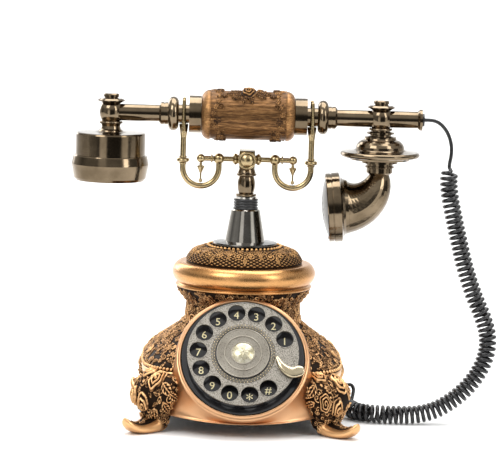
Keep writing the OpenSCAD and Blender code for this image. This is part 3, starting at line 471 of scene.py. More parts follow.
# Brightness of the studio walls seen in the metal: share of a full turn from behind, and level
WALL_BANDS = [(0.0, 0.5), (0.17, 0.9), (0.24, 0.22), (0.30, 0.5), (0.37, 0.42), (0.40, 0.10), (0.413, 1.9),
              (0.464, 1.9), (0.476, 0.10), (0.60, 0.08), (0.62, 2.0), (0.664, 2.0), (0.68, 0.12),
              (0.75, 0.14), (0.77, 1.3), (0.82, 1.3), (0.86, 0.3), (1.0, 0.5)]
# Brightness by height: share of the way from straight down to straight up, and level
SKY_LEVELS = [(0.0, 0.6), (0.42, 0.34), (0.5, 0.20), (0.60, 0.30), (0.70, 0.85), (0.85, 1.15), (1.0, 0.9)]


def make_world():
    """Bright strips between dark flags around the object, and a bright ceiling."""
    world = bpy.data.worlds.new("studio")
    world.use_nodes = True
    w = Nodes(world.node_tree)
    axes = w.add("ShaderNodeSeparateXYZ")
    w.link(w.add("ShaderNodeTexCoord").outputs["Generated"], axes.inputs["Vector"])
    turn = w.math("ARCTAN2", axes.outputs["X"], w.math("MULTIPLY", axes.outputs["Y"], -1))
    share = w.range(turn, 0, 1, -math.pi, math.pi)
    rise = w.range(axes.outputs["Z"], 0, 1, -1, 1)
    low = w.range(rise, 0, 1, 0.72, 0.55, interpolation_type="SMOOTHSTEP")
    sky, walls = ([(pos, (level, level, level * 0.98)) for pos, level in bands]
                  for bands in (SKY_LEVELS, WALL_BANDS))
    mix = w.add("ShaderNodeMix", data_type="RGBA")
    w.link(low, mix.inputs["Factor"])
    w.link(w.ramp(rise, sky), mix.inputs[6])
    w.link(w.ramp(share, walls), mix.inputs[7])
    back = w.tree.nodes["Background"]
    w.link(mix.outputs[2], back.inputs["Color"])
    back.inputs["Strength"].default_value = 0.8
    return world


def make_studio():
    bpy.context.scene.view_settings.view_transform = "Standard"
    bpy.context.scene.world = make_world()
    area_light("key", (-1.0, -1.2, 1.6), (1.0, 1.0), 20)
    area_light("fill", (1.3, -1.1, 1.1), (0.5, 1.0), 9)
    area_light("top", (0.1, 0.3, 1.8), (1.8, 1.4), 40)
    area_light("rim", (-0.9, 1.2, 0.8), (0.5, 1.2), 9)
    floor_paint = Paint("floor", 0.0, 0.55)
    floor_paint.colour(floor_paint.ramp(floor_paint.noise(3, 3), [(0.3, (0.86, 0.86, 0.86)),
                                                                  (0.7, (0.90, 0.90, 0.90))]))
    depth = np.linspace(-620, 2400, 40)
    rise = np.where(depth > 1200, (depth - 1200) ** 2 / 900, 0.0)
    rows = [[(x, y, z - 0.3) for x in (-2600, 2600)] for y, z in zip(depth, rise)]
    floor = grid_object("floor", np.array(rows, float), None, floor_paint.mat, wrap=False)


make_camera()
make_studio()


# ---------------------------------------------------------------- cord

LEAD = [
    [126, 0, 227.4], [138, 0, 227.4], [144, 0, 225], [148.4, 0, 220.4], [151.4, 0, 214.6],
    [153, 0, 208], [153, 0, 201], [152, 0, 195], [152, 0, 190.1]
]
CURL = [
    [152, 0, 190], [152, 0, 180], [153.6, -1, 168], [156.8, -1, 154], [161, -2, 137],
    [166, -3, 118], [173, -4, 98], [180, -6, 82], [184.4, -7, 68], [184.4, -9, 55],
    [180, -11, 42], [172, -13, 30], [161, -15, 19.5], [147, -17, 11], [133, -19, 7.4],
    [118, -20, 6.8], [104, -19, 6.8], [93, -15, 6.8], [86, -7, 6.8], [84, 2, 6.8], [84, 6, 6.8]
]
TAIL = [
    [84, 6.1, 6.8], [84, 10, 6.8], [84.4, 14.4, 8], [85.4, 18.6, 11], [86.4, 21.6, 14.8],
    [86.6, 23.4, 18.4], [84.8, 24, 21], [82.4, 24, 21], [79.6, 24, 21]
]
WIRE_R = 1.42
TURN_POINTS = 16
EASE_POINTS = 10
CURL_R = 6.9
PITCH = 4.05


def cord_path():
    """Straight lead, a helix around the curl's middle line, and the straight tail, as one line."""
    lead = smooth_curve(LEAD, 2.0)
    tail = smooth_curve(TAIL, 1.5)
    middle = smooth_curve(CURL, 0.25)
    length = np.linalg.norm(np.diff(middle, axis=0), axis=1).sum()
    turns = round(length / PITCH)
    n = turns * TURN_POINTS
    centre = at_share(middle, np.linspace(0, 1, n + 1))
    t = unit_tangents(centre)
    swell = np.clip(np.minimum(np.arange(n + 1), n - np.arange(n + 1)) / EASE_POINTS, 0, 1)
    radius = (CURL_R - WIRE_R) * swell ** 0.6
    u = np.array([1.0, 0, 0])
    points = []
    for i in range(n + 1):
        u = u - t[i] * (u @ t[i])
        u /= np.linalg.norm(u)
        v = np.cross(t[i], u)
        a = TAU * i / TURN_POINTS
        points.append(centre[i] + radius[i] * (math.cos(a) * u + math.sin(a) * v))
    return np.vstack([lead[:-1], np.array(points)[2:-2], tail[1:]])


def make_cord():
    """Curly cord in place of its three CAD solids, from the handset to the base."""
    path = cord_path()
    rings = sweep(path, WIRE_R, 10)
    cord = grid_object("curly_cord", rings, None, M["cord"], caps=True)
    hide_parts("cord_lead", "cord_curl", "cord_tail")
    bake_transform(cord)


make_cord()


# ---------------------------------------------------------------- relief on a grid

class Relief:
    """Heights over a grid whose rows are closed rings, measured in millimetres."""

    def __init__(self, across, along, girth):
        """across: mm along each ring, rows x cols; along: mm down the rows; girth: mm round each ring."""
        self.across = across
        self.along = along
        self.girth = girth
        self.height = np.zeros(across.shape)

    def stamp(self, u, v, reach, angle, shape, height, base=0.0, over=False):
        """Raise a shape, given as a function of two local axes: over all else, or where it stands higher."""
        rows = np.nonzero(np.abs(self.along - v) < reach)[0]
        if not len(rows):
            return
        width = self.girth[rows[len(rows) // 2]]
        du = self.across[rows] * (width / self.girth[rows])[:, None] - u * width
        du = (du + width / 2) % width - width / 2
        cols = np.nonzero(np.abs(du[len(rows) // 2]) < reach)[0]
        if not len(cols):
            return
        du = du[:, cols]
        dv = (self.along[rows] - v)[:, None] + 0 * du
        c, s = math.cos(angle), math.sin(angle)
        h = shape(du * c + dv * s, -du * s + dv * c)
        block = np.ix_(rows, cols)
        lift = np.where(h > 0, base + height * h, 0)
        below = self.height[block]
        self.height[block] = np.where(h > 0, lift, below) if over else np.maximum(below, lift)


def rose(radius):
    """Rolled rose: a low dome with one spiral ridge and a lobed edge."""
    def shape(a, b):
        phi = np.arctan2(b, a)
        r = np.hypot(a, b) / (radius * (0.93 + 0.07 * np.cos(5 * phi)))
        turn = (r * 2.9 - phi / TAU) % 1.0
        ridge = np.exp(-((turn - 0.5) / 0.15) ** 2)
        dome = np.sqrt(np.clip(1 - r ** 2, 0, 1))
        return np.where(r < 1, 0.10 + 0.34 * dome + 0.62 * ridge * (0.45 + 0.55 * dome), 0)
    return shape


def leaf(length, width):
    """Pointed leaf with a raised rim, midrib and side veins."""
    def shape(a, b):
        t = a / length + 0.5
        half = width * np.sin(np.pi * np.clip(t, 0, 1)) ** 0.75 * (1.12 - 0.35 * t)
        q = np.abs(b) / np.maximum(half, 1e-6)
        rib = np.exp(-(b / (0.07 * width + 0.14)) ** 2)
        vein = 0.14 * np.cos(TAU * (4.5 * t - 0.9 * q))
        body = 0.30 + 0.36 * q ** 2 + 0.48 * rib + vein
        inside = (t > 0) & (t < 1) & (q < 1)
        return np.where(inside, body * np.clip((1 - q) * 7, 0, 1) ** 0.5, 0)
    return shape


def scroll(size, turns=1.25, thick=0.16, hand=1):
    """Spiral scroll of a round raised cord that swells at its eye."""
    t = np.linspace(0, 1, 44)
    r = size * (0.14 + 0.86 * t)
    phi = hand * turns * TAU * t
    x, y = r * np.cos(phi), r * np.sin(phi)
    w = size * thick * (1.15 - 0.55 * t)

    def shape(a, b):
        d = np.hypot(a[..., None] - x, b[..., None] - y) / w
        d = d.min(-1)
        eye = np.hypot(a, b) / (size * 0.2)
        return np.maximum(np.sqrt(np.clip(1 - d ** 2, 0, 1)), 0.9 * np.sqrt(np.clip(1 - eye ** 2, 0, 1)))
    return shape


def bead(radius):
    """Half ball."""
    def shape(a, b):
        return np.sqrt(np.clip(1 - (a ** 2 + b ** 2) / radius ** 2, 0, 1))
    return shape


def daisy(radius, petals=6):
    """Small open flower with a round eye."""
    def shape(a, b):
        r = np.hypot(a, b) / radius
        phi = np.arctan2(b, a)
        edge = 0.62 + 0.38 * np.abs(np.cos(petals / 2 * phi))
        petal = np.where(r < edge, 0.45 + 0.4 * np.sin(np.pi * np.clip(r / edge, 0, 1)) ** 0.8, 0)
        eye = np.sqrt(np.clip(1 - (r / 0.3) ** 2, 0, 1))
        return np.maximum(petal * (0.75 + 0.25 * np.abs(np.cos(petals / 2 * phi))), eye)
    return shape


def foliage(relief, count, v_range, size, height, seed):
    """Crowded carving: scrolls, leaves and small flowers at every angle."""
    r = np.random.default_rng(seed)
    for _ in range(count):
        u, v = r.random(), r.uniform(*v_range)
        s = r.uniform(*size)
        angle = r.uniform(0, TAU)
        kind = r.random()
        h = height * r.uniform(0.65, 1.0)
        if kind < 0.42:
            curl = scroll(s * 0.8, r.uniform(0.8, 1.5), 0.17, r.choice([-1, 1]))
            relief.stamp(u, v, s * 1.1, angle, curl, h)
        elif kind < 0.86:
            relief.stamp(u, v, s * 1.1, angle, leaf(1.9 * s, 0.5 * s), h)
        else:
            relief.stamp(u, v, s, angle, daisy(0.55 * s), h)


def normals_of(points):
    """Unit normals of a grid of points whose rows are closed rings."""
    du = np.roll(points, -1, 1) - np.roll(points, 1, 1)
    dv = np.gradient(points, axis=0)
    n = np.cross(du, dv)
    return n / np.maximum(np.linalg.norm(n, axis=-1, keepdims=True), 1e-9)


def worn(height, full, depth, reach=5):
    """Polish over a relief: it grows with the height and drops in the grooves between higher parts."""
    box = np.ones(2 * reach + 1) / (2 * reach + 1)
    mean = np.pad(height, ((reach, reach), (reach, reach)), "wrap")
    mean = np.apply_along_axis(np.convolve, 0, mean, box, "valid")
    mean = np.apply_along_axis(np.convolve, 1, mean, box, "valid")
    return np.clip(0.06 + height / full + depth * (height - mean), 0, 1.1)


# ---------------------------------------------------------------- cast base

def section_table():
    """Height, half width and squareness of each section of the bell, as in the CAD."""
    flare = LIP_Z - EDGE_Z
    return np.array([
        [SKIRT_Z, SKIRT_IN - 1, 4.2], [SKIRT_Z + 13, SKIRT_IN - 0.5, 4.2], [EDGE_Z - 6, SKIRT_IN + 1, 4.2],
        [EDGE_Z - 4.5, SKIRT_W - 0.6, 4.2], [EDGE_Z, SKIRT_W, 4.2],
        [EDGE_Z + 0.09 * flare, SKIRT_W - 1.6, 3.8],
        [EDGE_Z + 0.24 * flare, WAIST_R + 0.72 * (SKIRT_W - WAIST_R), 3.1],
        [EDGE_Z + 0.41 * flare, WAIST_R + 0.31 * (SKIRT_W - WAIST_R), 2.5],
        [EDGE_Z + 0.55 * flare, WAIST_R + 0.5, 2.2], [EDGE_Z + 0.8 * flare, WAIST_R, 2],
        [LIP_Z - 2, CROWN_R - 3.6, 2], [LIP_Z, CROWN_R - 3.6, 2]])


def superellipse(w, e, a):
    """Radius at angle a of a square of half width w, rounder as e nears 2."""
    return w / (np.abs(np.cos(a)) ** e + np.abs(np.sin(a)) ** e) ** (1 / e)


EDGE_BEADS = 168
RELIEF_ROOM = 1.2


def make_bell():
    """Skin of the base: carved flare, smooth rim with a row of beads, carved skirt."""
    cols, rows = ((1300, 400))
    table = section_table()
    flare = (table[:, 0] > EDGE_Z) & (table[:, 0] < LIP_Z - 5)
    table[flare, 1] -= RELIEF_ROOM
    z = np.linspace(LIP_Z, SKIRT_Z, rows)
    w = np.interp(z, table[:, 0], table[:, 1])
    e = np.interp(z, table[:, 0], table[:, 2])
    kernel = np.ones(9) / 9
    w_soft = np.convolve(np.pad(w, 4, "edge"), kernel, "valid")
    a = np.arange(cols) * TAU / cols
    r = superellipse(w_soft[:, None], e[:, None], a[None])
    base = np.stack([r * np.cos(a), r * np.sin(a), np.broadcast_to(z[:, None], r.shape)], -1)
    step = np.linalg.norm(np.diff(base, axis=1, append=base[:, :1]), axis=-1)
    across = np.cumsum(step, axis=1) - step
    along = np.concatenate([[0], np.cumsum(np.hypot(np.diff(w_soft), np.diff(z)))])
    relief = Relief(across, along, step.sum(axis=1))

    def at_z(height):
        return float(np.interp(-height, -z, along))

    def turn(x, y):
        """Share of the way round at which a direction is met."""
        i = int(round((math.atan2(y, x) % TAU) / TAU * cols)) % cols
        return across[rows // 2, i] / relief.girth[rows // 2]

    edge_v, band_v = at_z(EDGE_Z + 1.5), at_z(EDGE_Z - 4)
    foliage(relief, 3400, (at_z(LIP_Z - 1), edge_v - 2), (1.5, 3.3), 1.3, 11)
    for i in range(8):
        for side in (-1, 1):
            u = (i + 0.5) / 8 + side * 0.022
            relief.stamp(u % 1, at_z(LIP_Z - 9), 12, 0.4 * side + math.pi / 2, leaf(19, 2.6), 2.0)
            relief.stamp(u % 1, at_z(LIP_Z - 24), 9, -0.6 * side, scroll(6, 1.3, 0.15, side), 2.0)
    for k in range(4):
        corner = turn(math.cos(math.radians(45 + 90 * k)), math.sin(math.radians(45 + 90 * k)))
        for side in (-1, 1):
            relief.stamp((corner + side * 0.035) % 1, at_z(60), 8, side * 0.7 + 1.57, leaf(13, 2.4), 1.9)
            relief.stamp((corner + side * 0.075) % 1, at_z(52), 6, side, scroll(4.4, 1.5, 0.15, side), 1.9)
            relief.stamp((corner + side * 0.012) % 1, at_z(76), 8, 1.57 + 0.2 * side, leaf(13, 2.2), 1.8)
    for i in range(EDGE_BEADS):
        relief.stamp(i / EDGE_BEADS, at_z(EDGE_Z + 2.2), 2, 0, bead(1.15), 1.2, 0.5, over=True)
    low = at_z(EDGE_Z - 6.5), at_z(SKIRT_Z + 2)
    foliage(relief, 900, low, (2.0, 4.2), 1.5, 12)
    height = relief.height
    calm = (along[:, None] > at_z(EDGE_Z + 0.9)) & (along[:, None] < band_v)
    height = np.where(calm, 0.0, height)
    points = base + normals_of(base) * -height[..., None]
    shade = np.where(calm, 0.66, worn(height, 4.2, 0.85, 3))
    inner = base[-1] * np.array([0.95, 0.95, 1])
    tucked = np.stack([inner, inner + [0, 0, 4]])
    points = np.concatenate([points, tucked])
    shade = np.concatenate([shade, np.full((2, cols), 0.3)])
    bell = grid_object("bell", points, "base", M["relief"], relief=shade, flip=True)
    cut_windows(bell)
    return bell


# Nodes that come through the skin, and the axis along which they do
WINDOWS = {"handset_jack": 0, "line_jack": 1, "ringer_switch": 0}
WINDOW_GAP = 0.8
WINDOW_DEPTH = 6


def cut_windows(obj):
    """Open the skin where the sockets and the slider come through it."""
    boxes = []
    for node, axis in WINDOWS.items():
        low, high = (v.copy() for v in box_mm(node))
        room = np.full(3, WINDOW_GAP)
        room[axis] = WINDOW_DEPTH
        low -= room
        high += room
        boxes.append((low, high))
    bm = bmesh.new()
    bm.from_mesh(obj.data)
    inside = []
    for face in bm.faces:
        c = np.array(face.calc_center_median()) / MM
        if any((c > low).all() and (c < high).all() for low, high in boxes):
            inside.append(face)
    bmesh.ops.delete(bm, geom=inside, context="FACES")
    bm.to_mesh(obj.data)
    bm.free()


def make_drum():
    """Smooth bezel and the front panel that flows from it to the foot line between the legs."""
    cols, rows = 240, 36
    phi = np.arange(cols) * TAU / cols
    rim = [(HOUSING_R + 0.35, -8), (HOUSING_R + 0.35, -0.6), (HOUSING_R + 0.6, 0.15), (HOUSING_R + 1.2, 0.5),
           (HOUSING_R + 1.9, 0.2), (HOUSING_R + 2.2, -0.6), (HOUSING_R + 2.6, -0.9), (BEZEL_R + 0.5, -0.9),
           (BEZEL_R + 1.2, -1.5), (BEZEL_R + 1.5, -2.6)]
    ring = move(lathe_points(rim, cols), DIAL)
    start = ring[-1]
    outward = DIAL_R @ np.array([0, 0, 1.0])
    u = np.cos(phi)
    foot = np.stack([62 * u, -69 - 26 * (1 - np.abs(u) ** 2.2), SKIRT_Z + 3.5 * u ** 2], -1)
    back = start - outward * 30
    low = np.clip((0.12 - np.sin(phi)) / 0.3, 0, 1)
    low = (low * low * (3 - 2 * low))[:, None]
    end = back * (1 - low) + foot * low
    mid = start + (end - start) * 0.45 - outward * 5 * low
    t = np.linspace(0, 1, rows)[1:, None, None]
    sheet = (1 - t) ** 2 * start + 2 * t * (1 - t) * mid + t ** 2 * end
    lip = end + np.array([0, -1.2, -0.6]) * low
    under = end + np.array([0, 9.0, 1.0]) * low
    points = np.concatenate([ring, sheet, lip[None], under[None]])
    grid_object("front_panel", points, "base", M["panel"])


LEG_SPINE = np.array([
    # out along the diagonal, height, half width, half depth
    [70, 38, 11, 4], [82, 36, 17, 7.5], [90, 31.5, 19, 10.5], [93.5, 25, 18, 11.5], [93, 18, 14.5, 10],
    [92.5, 12, 12.0, 9], [95, 6.2, 11, 6.6], [102, 3.9, 10.2, 4.8], [110, 3.4, 9, 3.8],
    [117, 4.8, 7.2, 3.3], [122, 8, 5, 2.7], [124.6, 11.2, 2.6, 1.7], [125.1, 12.4, 0.4, 0.4]])
LEG_HEADINGS = (45, 135, 227.4, 312.6)
REAR_REACH = 0.945
FOOT_POLISH = 0.72
FLOOR_GAP = 0.15


def make_leg(index, heading):
    """Corner leg: roses and leaves on the shoulder, a smooth foot that curls up at the toe."""
    rows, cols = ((420, 360))
    spine = smooth_curve(np.c_[LEG_SPINE[:, 0], np.zeros(len(LEG_SPINE)), LEG_SPINE[:, 1]], 0.4)
    keys = distance_along(LEG_SPINE[:, :2])
    s = np.linspace(0, 1, rows)
    c = at_share(spine, s)
    half_w = np.interp(s * keys[-1], keys, LEG_SPINE[:, 2])
    half_d = np.interp(s * keys[-1], keys, LEG_SPINE[:, 3])
    soft = np.ones(13) / 13
    half_w = np.minimum(np.convolve(np.pad(half_w, 6, "edge"), soft, "valid"), half_w + 0.6)
    half_d = np.convolve(np.pad(half_d, 6, "edge"), soft, "valid")
    t = unit_tangents(c)
    side = np.array([0, 1.0, 0])
    front = np.cross(side, t)
    a = np.arange(cols) * TAU / cols
    ca, sa = np.cos(a), np.sin(a)
    ex = np.sign(ca) * np.abs(ca) ** 0.85
    ey = np.sign(sa) * np.abs(sa) ** 0.9
    base = (c[:, None] + half_d[:, None, None] * ex[None, :, None] * -front[:, None]
            + half_w[:, None, None] * ey[None, :, None] * side)
    step = np.linalg.norm(np.diff(base, axis=1, append=base[:, :1]), axis=-1)
    across = np.cumsum(step, axis=1) - step
    along = distance_along(c)
    relief = Relief(across, along, step.sum(axis=1))
    total = along[-1]
    foliage(relief, 260, (4, total * 0.62), (2.0, 3.6), 1.3, 40 + index)
    for u, v, angle in ((0.17, 0.30, 0.4), (0.21, 0.20, -0.3), (0.20, 0.42, 1.0), (0.10, 0.47, 1.5),
                        (0.80, 0.28, 2.7), (0.78, 0.18, 3.3), (0.90, 0.54, 1.7), (0.25, 0.33, 0.2),
                        (0.74, 0.36, 3.0), (0.03, 0.56, 1.5)):
        relief.stamp(u, v * total, 7, angle, leaf(10.5, 2.7), 2.3, 0.3)
    for u, v, angle in ((0.99, 0.68, 1.5), (0.04, 0.76, 1.4), (0.96, 0.80, 1.7), (0.0, 0.87, 1.57)):
        relief.stamp(u % 1, v * total, 6, angle, leaf(8, 1.7), 1.3, 0.1)
    for u, v, size in ((0.925, 0.20, 5.8), (0.055, 0.26, 6.0), (0.985, 0.40, 5.2), (0.12, 0.12, 4.4),
                       (0.87, 0.36, 4.4), (0.005, 0.09, 4.6)):
        relief.stamp(u, v * total, size * 1.05, rng.uniform(0, TAU), rose(size), 3.2, 0.5, over=True)
    around = np.minimum(across / relief.girth[:, None], 1 - across / relief.girth[:, None])
    low_foot = np.clip((along[:, None] / total - 0.58) / 0.06, 0, 1)
    inner_side = np.clip((around - 0.10) / 0.03, 0, 1)
    calm = low_foot * inner_side
    end = np.clip((total - along[:, None]) / 5, 0, 1)
    height = relief.height * (1 - calm) * end
    shade = worn(relief.height, 7.5, 0.95) * (1 - calm) + FOOT_POLISH * calm
    shade = shade * end + FOOT_POLISH * (1 - end)
    groove = np.exp(-((around - 0.115) / 0.012) ** 2) * low_foot * end
    height = height - 0.6 * groove
    shade = shade * (1 - 0.85 * groove)
    out = normals_of(base)
    centre = c[:, None]
    flip = np.sign(((base - centre) * out).sum(-1, keepdims=True).mean())
    points = base + out * flip * height[..., None]
    points[..., 2] = np.maximum(points[..., 2], FLOOR_GAP)
    points = points * [REAR_REACH if index < 2 else 1, 1, 1]
    points = move(points, Matrix.Rotation(heading, 4, "Z"))
    grid_object(f"leg_{index + 1}", points, "base", M["relief"], relief=shade, flip=flip > 0, caps=True)


def make_base():
    """Skin, front panel and legs in place of the cast shell."""
    bell = make_bell()
    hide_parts("body_shell")
    make_drum()
    for i in range(4):
        make_leg(i, math.radians(LEG_HEADINGS[i]))


# ---------------------------------------------------------------- crown

CROWN_GROW = 1.0
DOME_NECK_R = 24.5
DOME_R = 43.4
DOME_RISE = 11.8
LATTICE = 58


def make_crown():
    """Turned lip and band, and the dome with a lattice, sprays of leaves and a ring of beads."""
    band_z = LIP_Z + 1.7
    dome_z = CROWN_TOP - 12.5
    band_h = dome_z - band_z
    lip_r = CROWN_R - 3 + CROWN_GROW
    outline = [(lip_r - 3.4, LIP_Z + 0.05), (lip_r, LIP_Z + 0.05), (lip_r + 0.5, LIP_Z + 0.8),
               (lip_r, band_z)]
    outline += arc(CROWN_R + CROWN_GROW - band_h / 2, band_z + band_h / 2, band_h / 2, -78, 62, 26)
    outline += [(45.6, dome_z - 0.9), (44.4, dome_z - 1.2), (43.2, dome_z - 0.6), (40, dome_z - 2),
                (40, band_z)]
    crown = lathe("crown_band", outline, "base", M["band"], 192)
    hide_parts("crown")
    cols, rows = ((1000, 110))
    t = np.linspace(0, 1, rows)
    a = np.radians(90 * t)
    r = DOME_NECK_R + (DOME_R - DOME_NECK_R) * np.cos(a)
    z = dome_z - 0.8 + DOME_RISE * np.sin(a)
    phi = np.arange(cols) * TAU / cols
    base = turned(r, z, phi)
    across = r[:, None] * phi[None]
    along = np.concatenate([[0], np.cumsum(np.hypot(np.diff(r), np.diff(z)))])
    relief = Relief(across, along, r * TAU)
    total = along[-1]
    u = phi / TAU
    weave = np.abs(np.sin(LATTICE * np.pi * u[None] + along[:, None] * 1.25)) * \
        np.abs(np.sin(LATTICE * np.pi * u[None] - along[:, None] * 1.25))
    relief.height = 0.75 * weave * (along[:, None] > 1.2) * (along[:, None] < total * 0.66)
    foliage(relief, 260, (total * 0.6, total * 0.76), (1.2, 2.2), 0.9, 21)
    for i in range(10):
        for side in (-1, 1):
            c = (i + 0.5) / 10 + side * 0.018
            relief.stamp(c % 1, total * 0.40, 6, 0, scroll(3.6, 1.6, 0.13, side), 0.9, 0.2)
            relief.stamp((c + side * 0.028) % 1, total * 0.58, 6, 0.5 * side, leaf(8, 1.5), 0.9, 0.2)
            relief.stamp((c + side * 0.033) % 1, total * 0.36, 4, 1.9 * side, leaf(5, 1.1), 0.8, 0.2)
        relief.stamp((i + 0.5) / 10, total * 0.24, 5, math.pi / 2, leaf(6, 1.6), 0.9, 0.3)
        relief.stamp(i / 10, total * 0.5, 4, 0, daisy(2.6), 0.9, 0.2)
    for i in range(50):
        relief.stamp(i / 50, total * 0.885, 2, 0, bead(1.3), 1.5, 0.2, over=True)
    points = base + normals_of(base) * relief.height[..., None]
    shade = worn(relief.height, 2.4, 1.0, 3)
    grid_object("crown_dome", points, "base", M["dome"], relief=shade)


# ---------------------------------------------------------------- handset pieces

STREAKS = 46
ROSE_LEAN = -0.072


def make_grip():
    """Streaked barrel with raised vines at both ends and a rose on top."""
    half, r0 = box_mm("grip_barrel")[1][:2]
    rows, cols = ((460, 420))
    edge = 6.5
    prof = arc(-half + edge, r0 - edge, edge, 180, 90, 40) + [(half - edge, r0)] + \
        arc(half - edge, r0 - edge, edge, 90, 0, 40)[1:]
    prof = np.array([(-half, 7.0)] + prof + [(half, 7.0)])
    s = distance_along(prof)
    along = np.linspace(0, s[-1], rows)
    x = np.interp(along, s, prof[:, 0])
    r = np.interp(along, s, prof[:, 1])
    phi = np.arange(cols) * TAU / cols
    base = turned(r, x, phi)[..., [2, 1, 0]]
    relief = Relief(r[:, None] * phi[None], along, r * TAU)
    bark = np.zeros((rows, cols))
    g = np.random.default_rng(3)
    for _ in range(STREAKS):
        bark += np.cos(TAU * (g.integers(3, 42) * phi[None] / TAU + g.uniform(-0.006, 0.006) * along[:, None]
                              + g.random())) / STREAKS
    flat = np.exp(-(np.abs(x) / 27) ** 8)[:, None]
    relief.height = (0.25 + 0.8 * np.clip(bark + 0.06, 0, 0.3)) * flat
    end_band = np.clip((np.abs(x) - 27.5) / 1.5, 0, 1)[:, None]
    relief.height = np.maximum(relief.height, 0.9 * end_band)
    for side in (-1, 1):
        for i in range(22):
            u = i / 22
            wave = side * (23.5 + 2.6 * math.sin(TAU * 3 * u))
            v = s[-1] / 2 + wave
            relief.stamp(u, v, 4, 1.2 + 0.8 * math.cos(TAU * 3 * u), leaf(6.6, 1.7), 1.3, 0.6)
            if i % 4 == 0:
                relief.stamp(u, v - side * 2.6, 4, 0, daisy(3.0), 1.3, 0.9)
            if i % 4 == 2:
                relief.stamp(u, v - side * 3.4, 4, u * 9, scroll(2.6, 1.2, 0.2), 1.2, 0.7)
    top = s[-1] / 2
    for angle, dist in ((0.25, 9.4), (-0.35, 9.8), (2.9, 9.6), (3.5, 9.6), (1.2, 6.6), (-1.3, 6.6),
                        (1.9, 6.6), (4.3, 6.6), (0.0, 12.5), (3.2, 12.5)):
        relief.stamp((ROSE_LEAN + dist * math.sin(angle) / (TAU * r0)) % 1, top + dist * math.cos(angle), 7,
                     math.pi / 2 - angle, leaf(8.5, 2.1), 1.7, 0.8)
    for u, v, size in ((0.0, 0.0, 6.4), (0.035, 8.6, 3.2), (-0.04, -8.8, 3.2)):
        height = 2.9 if size > 5 else 1.6
        relief.stamp((ROSE_LEAN + u) % 1, top + v, size, 0.5, rose(size), height, 0.9, over=True)
    around = (relief.across / relief.girth[:, None] - ROSE_LEAN + 0.5) % 1 - 0.5
    hill = np.hypot(around * relief.girth[:, None], along[:, None] - top)
    lift = 1.5 * np.exp(-(hill / 7.5) ** 2)
    out = normals_of(base)
    sign = np.sign((out * base * [0, 1, 1]).sum(-1).mean())
    points = base + out * sign * (relief.height + lift)[..., None] - out * sign * 0.9
    points = points + [0, 0, HANDSET_Z]
    shade = np.clip(0.30 + relief.height / 3.2, 0, 0.9)
    carved = relief.height > 1.25
    shade = np.where(carved, 0.8 * worn(np.maximum(relief.height - 1.25, 0), 4.5, 0.8, 3), shade)
    grip = grid_object("grip", points, "handset", M["grip"], relief=shade, flip=sign < 0)
    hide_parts("grip_barrel")


def make_collar():
    """Black guide collar with three grooves."""
    low, high = box_mm("guide_collar")
    r, z0, z1 = high[0], low[2], high[2]
    h = z1 - z0
    outline = [(4.2, z0), (r, z0)]
    for k in range(4):
        a, b = z0 + h * k / 4, z0 + h * (k + 1) / 4
        outline += [(r - 0.8, a + 0.25), (r, a + 0.6), (r, b - 0.6), (r - 0.8, b - 0.25)]
    outline += [(r - 0.6, z1), (4.2, z1)]
    collar = lathe("ribbed_collar", outline, "base", M["black"])
    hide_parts("guide_collar")


# ---------------------------------------------------------------- dial details

def on_dial(points):
    """Points of the dial's own frame, in the shared one."""
    return np.asarray(points, float) @ DIAL_R.T + DIAL_T


DIGIT_Z = 1.88
PLATE_TOP = 7 + 1.2


def make_digits():
    """Gold numbers under the finger holes, upright in the dial's plane."""
    for i, text in enumerate("1234567890*#"):
        angle = math.radians(FIRST_HOLE + HOLE_STEP * i)
        curve = bpy.data.curves.new("digit", "FONT")
        curve.body = text
        curve.size = (12 if text == "*" else 8.2) * MM
        curve.extrude = 0.06 * MM
        curve.align_x = "CENTER"
        curve.align_y = "CENTER"
        holder = bpy.data.objects.new("digit", curve)
        bpy.context.collection.objects.link(holder)
        bpy.context.view_layer.update()
        mesh = bpy.data.meshes.new_from_object(holder)
        bpy.data.objects.remove(holder)
        drop = 1.4 if text == "*" else -0.7
        spot = Vector((HOLE_AT * math.cos(angle), HOLE_AT * math.sin(angle) - drop, DIGIT_Z))
        spot = Matrix.Translation(spot * MM)
        place = Matrix.Translation(DIAL.translation * MM) @ DIAL.to_3x3().to_4x4() @ spot
        mesh.transform(place)
        mesh.materials.clear()
        mesh.materials.append(M["digit"])
        digit = bpy.data.objects.new(f"digit_{i + 1}", mesh)
        bpy.context.collection.objects.link(digit)
        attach(digit, "base")


def make_dial_trim():
    """Rings of small studs on the finger plate, a groove line and the raised rims of the centre."""
    top = PLATE_TOP
    points, faces = [], []
    lathe("stud_band", [(20.0, top - 0.1), (23.6, top - 0.1), (23.5, top + 0.06), (20.1, top + 0.06)],
          "finger_wheel", M["dark_band"], 160, DIAL)
    ball = lathe_points([(0.52, -0.1), (0.50, 0.10), (0.36, 0.30), (0.15, 0.40), (0.0, 0.42)], 10)
    for r, n, turn in ((20.9, 56, 0.0), (22.7, 56, 0.5)):
        for i in range(n):
            a = TAU * (i + turn) / n
            start = len(points) * 50
            points.append(ball.reshape(-1, 3) + [r * math.cos(a), r * math.sin(a), top])
            faces += grid_faces(5, 10, True, start)
    new_object("plate_studs", on_dial(np.concatenate(points)), faces, "finger_wheel", M["stop"])
    lathe("disc_gap", [(19.2, top - 0.1), (20.1, top - 0.1), (20.1, top + 0.12), (19.2, top + 0.12)],
          "finger_wheel", M["gloss"], 160, DIAL)
    for name, r, w, z in (("disc_rim", 19.0, 0.45, top + 0.95), ("inner_rim", 13.4, 0.5, top + 1.2),
                          ("medal_rim", 8.6, 0.45, top + 1.2)):
        lathe(name, oval(r, z, w, w, 12), "finger_wheel", M["disc"], 160, DIAL)


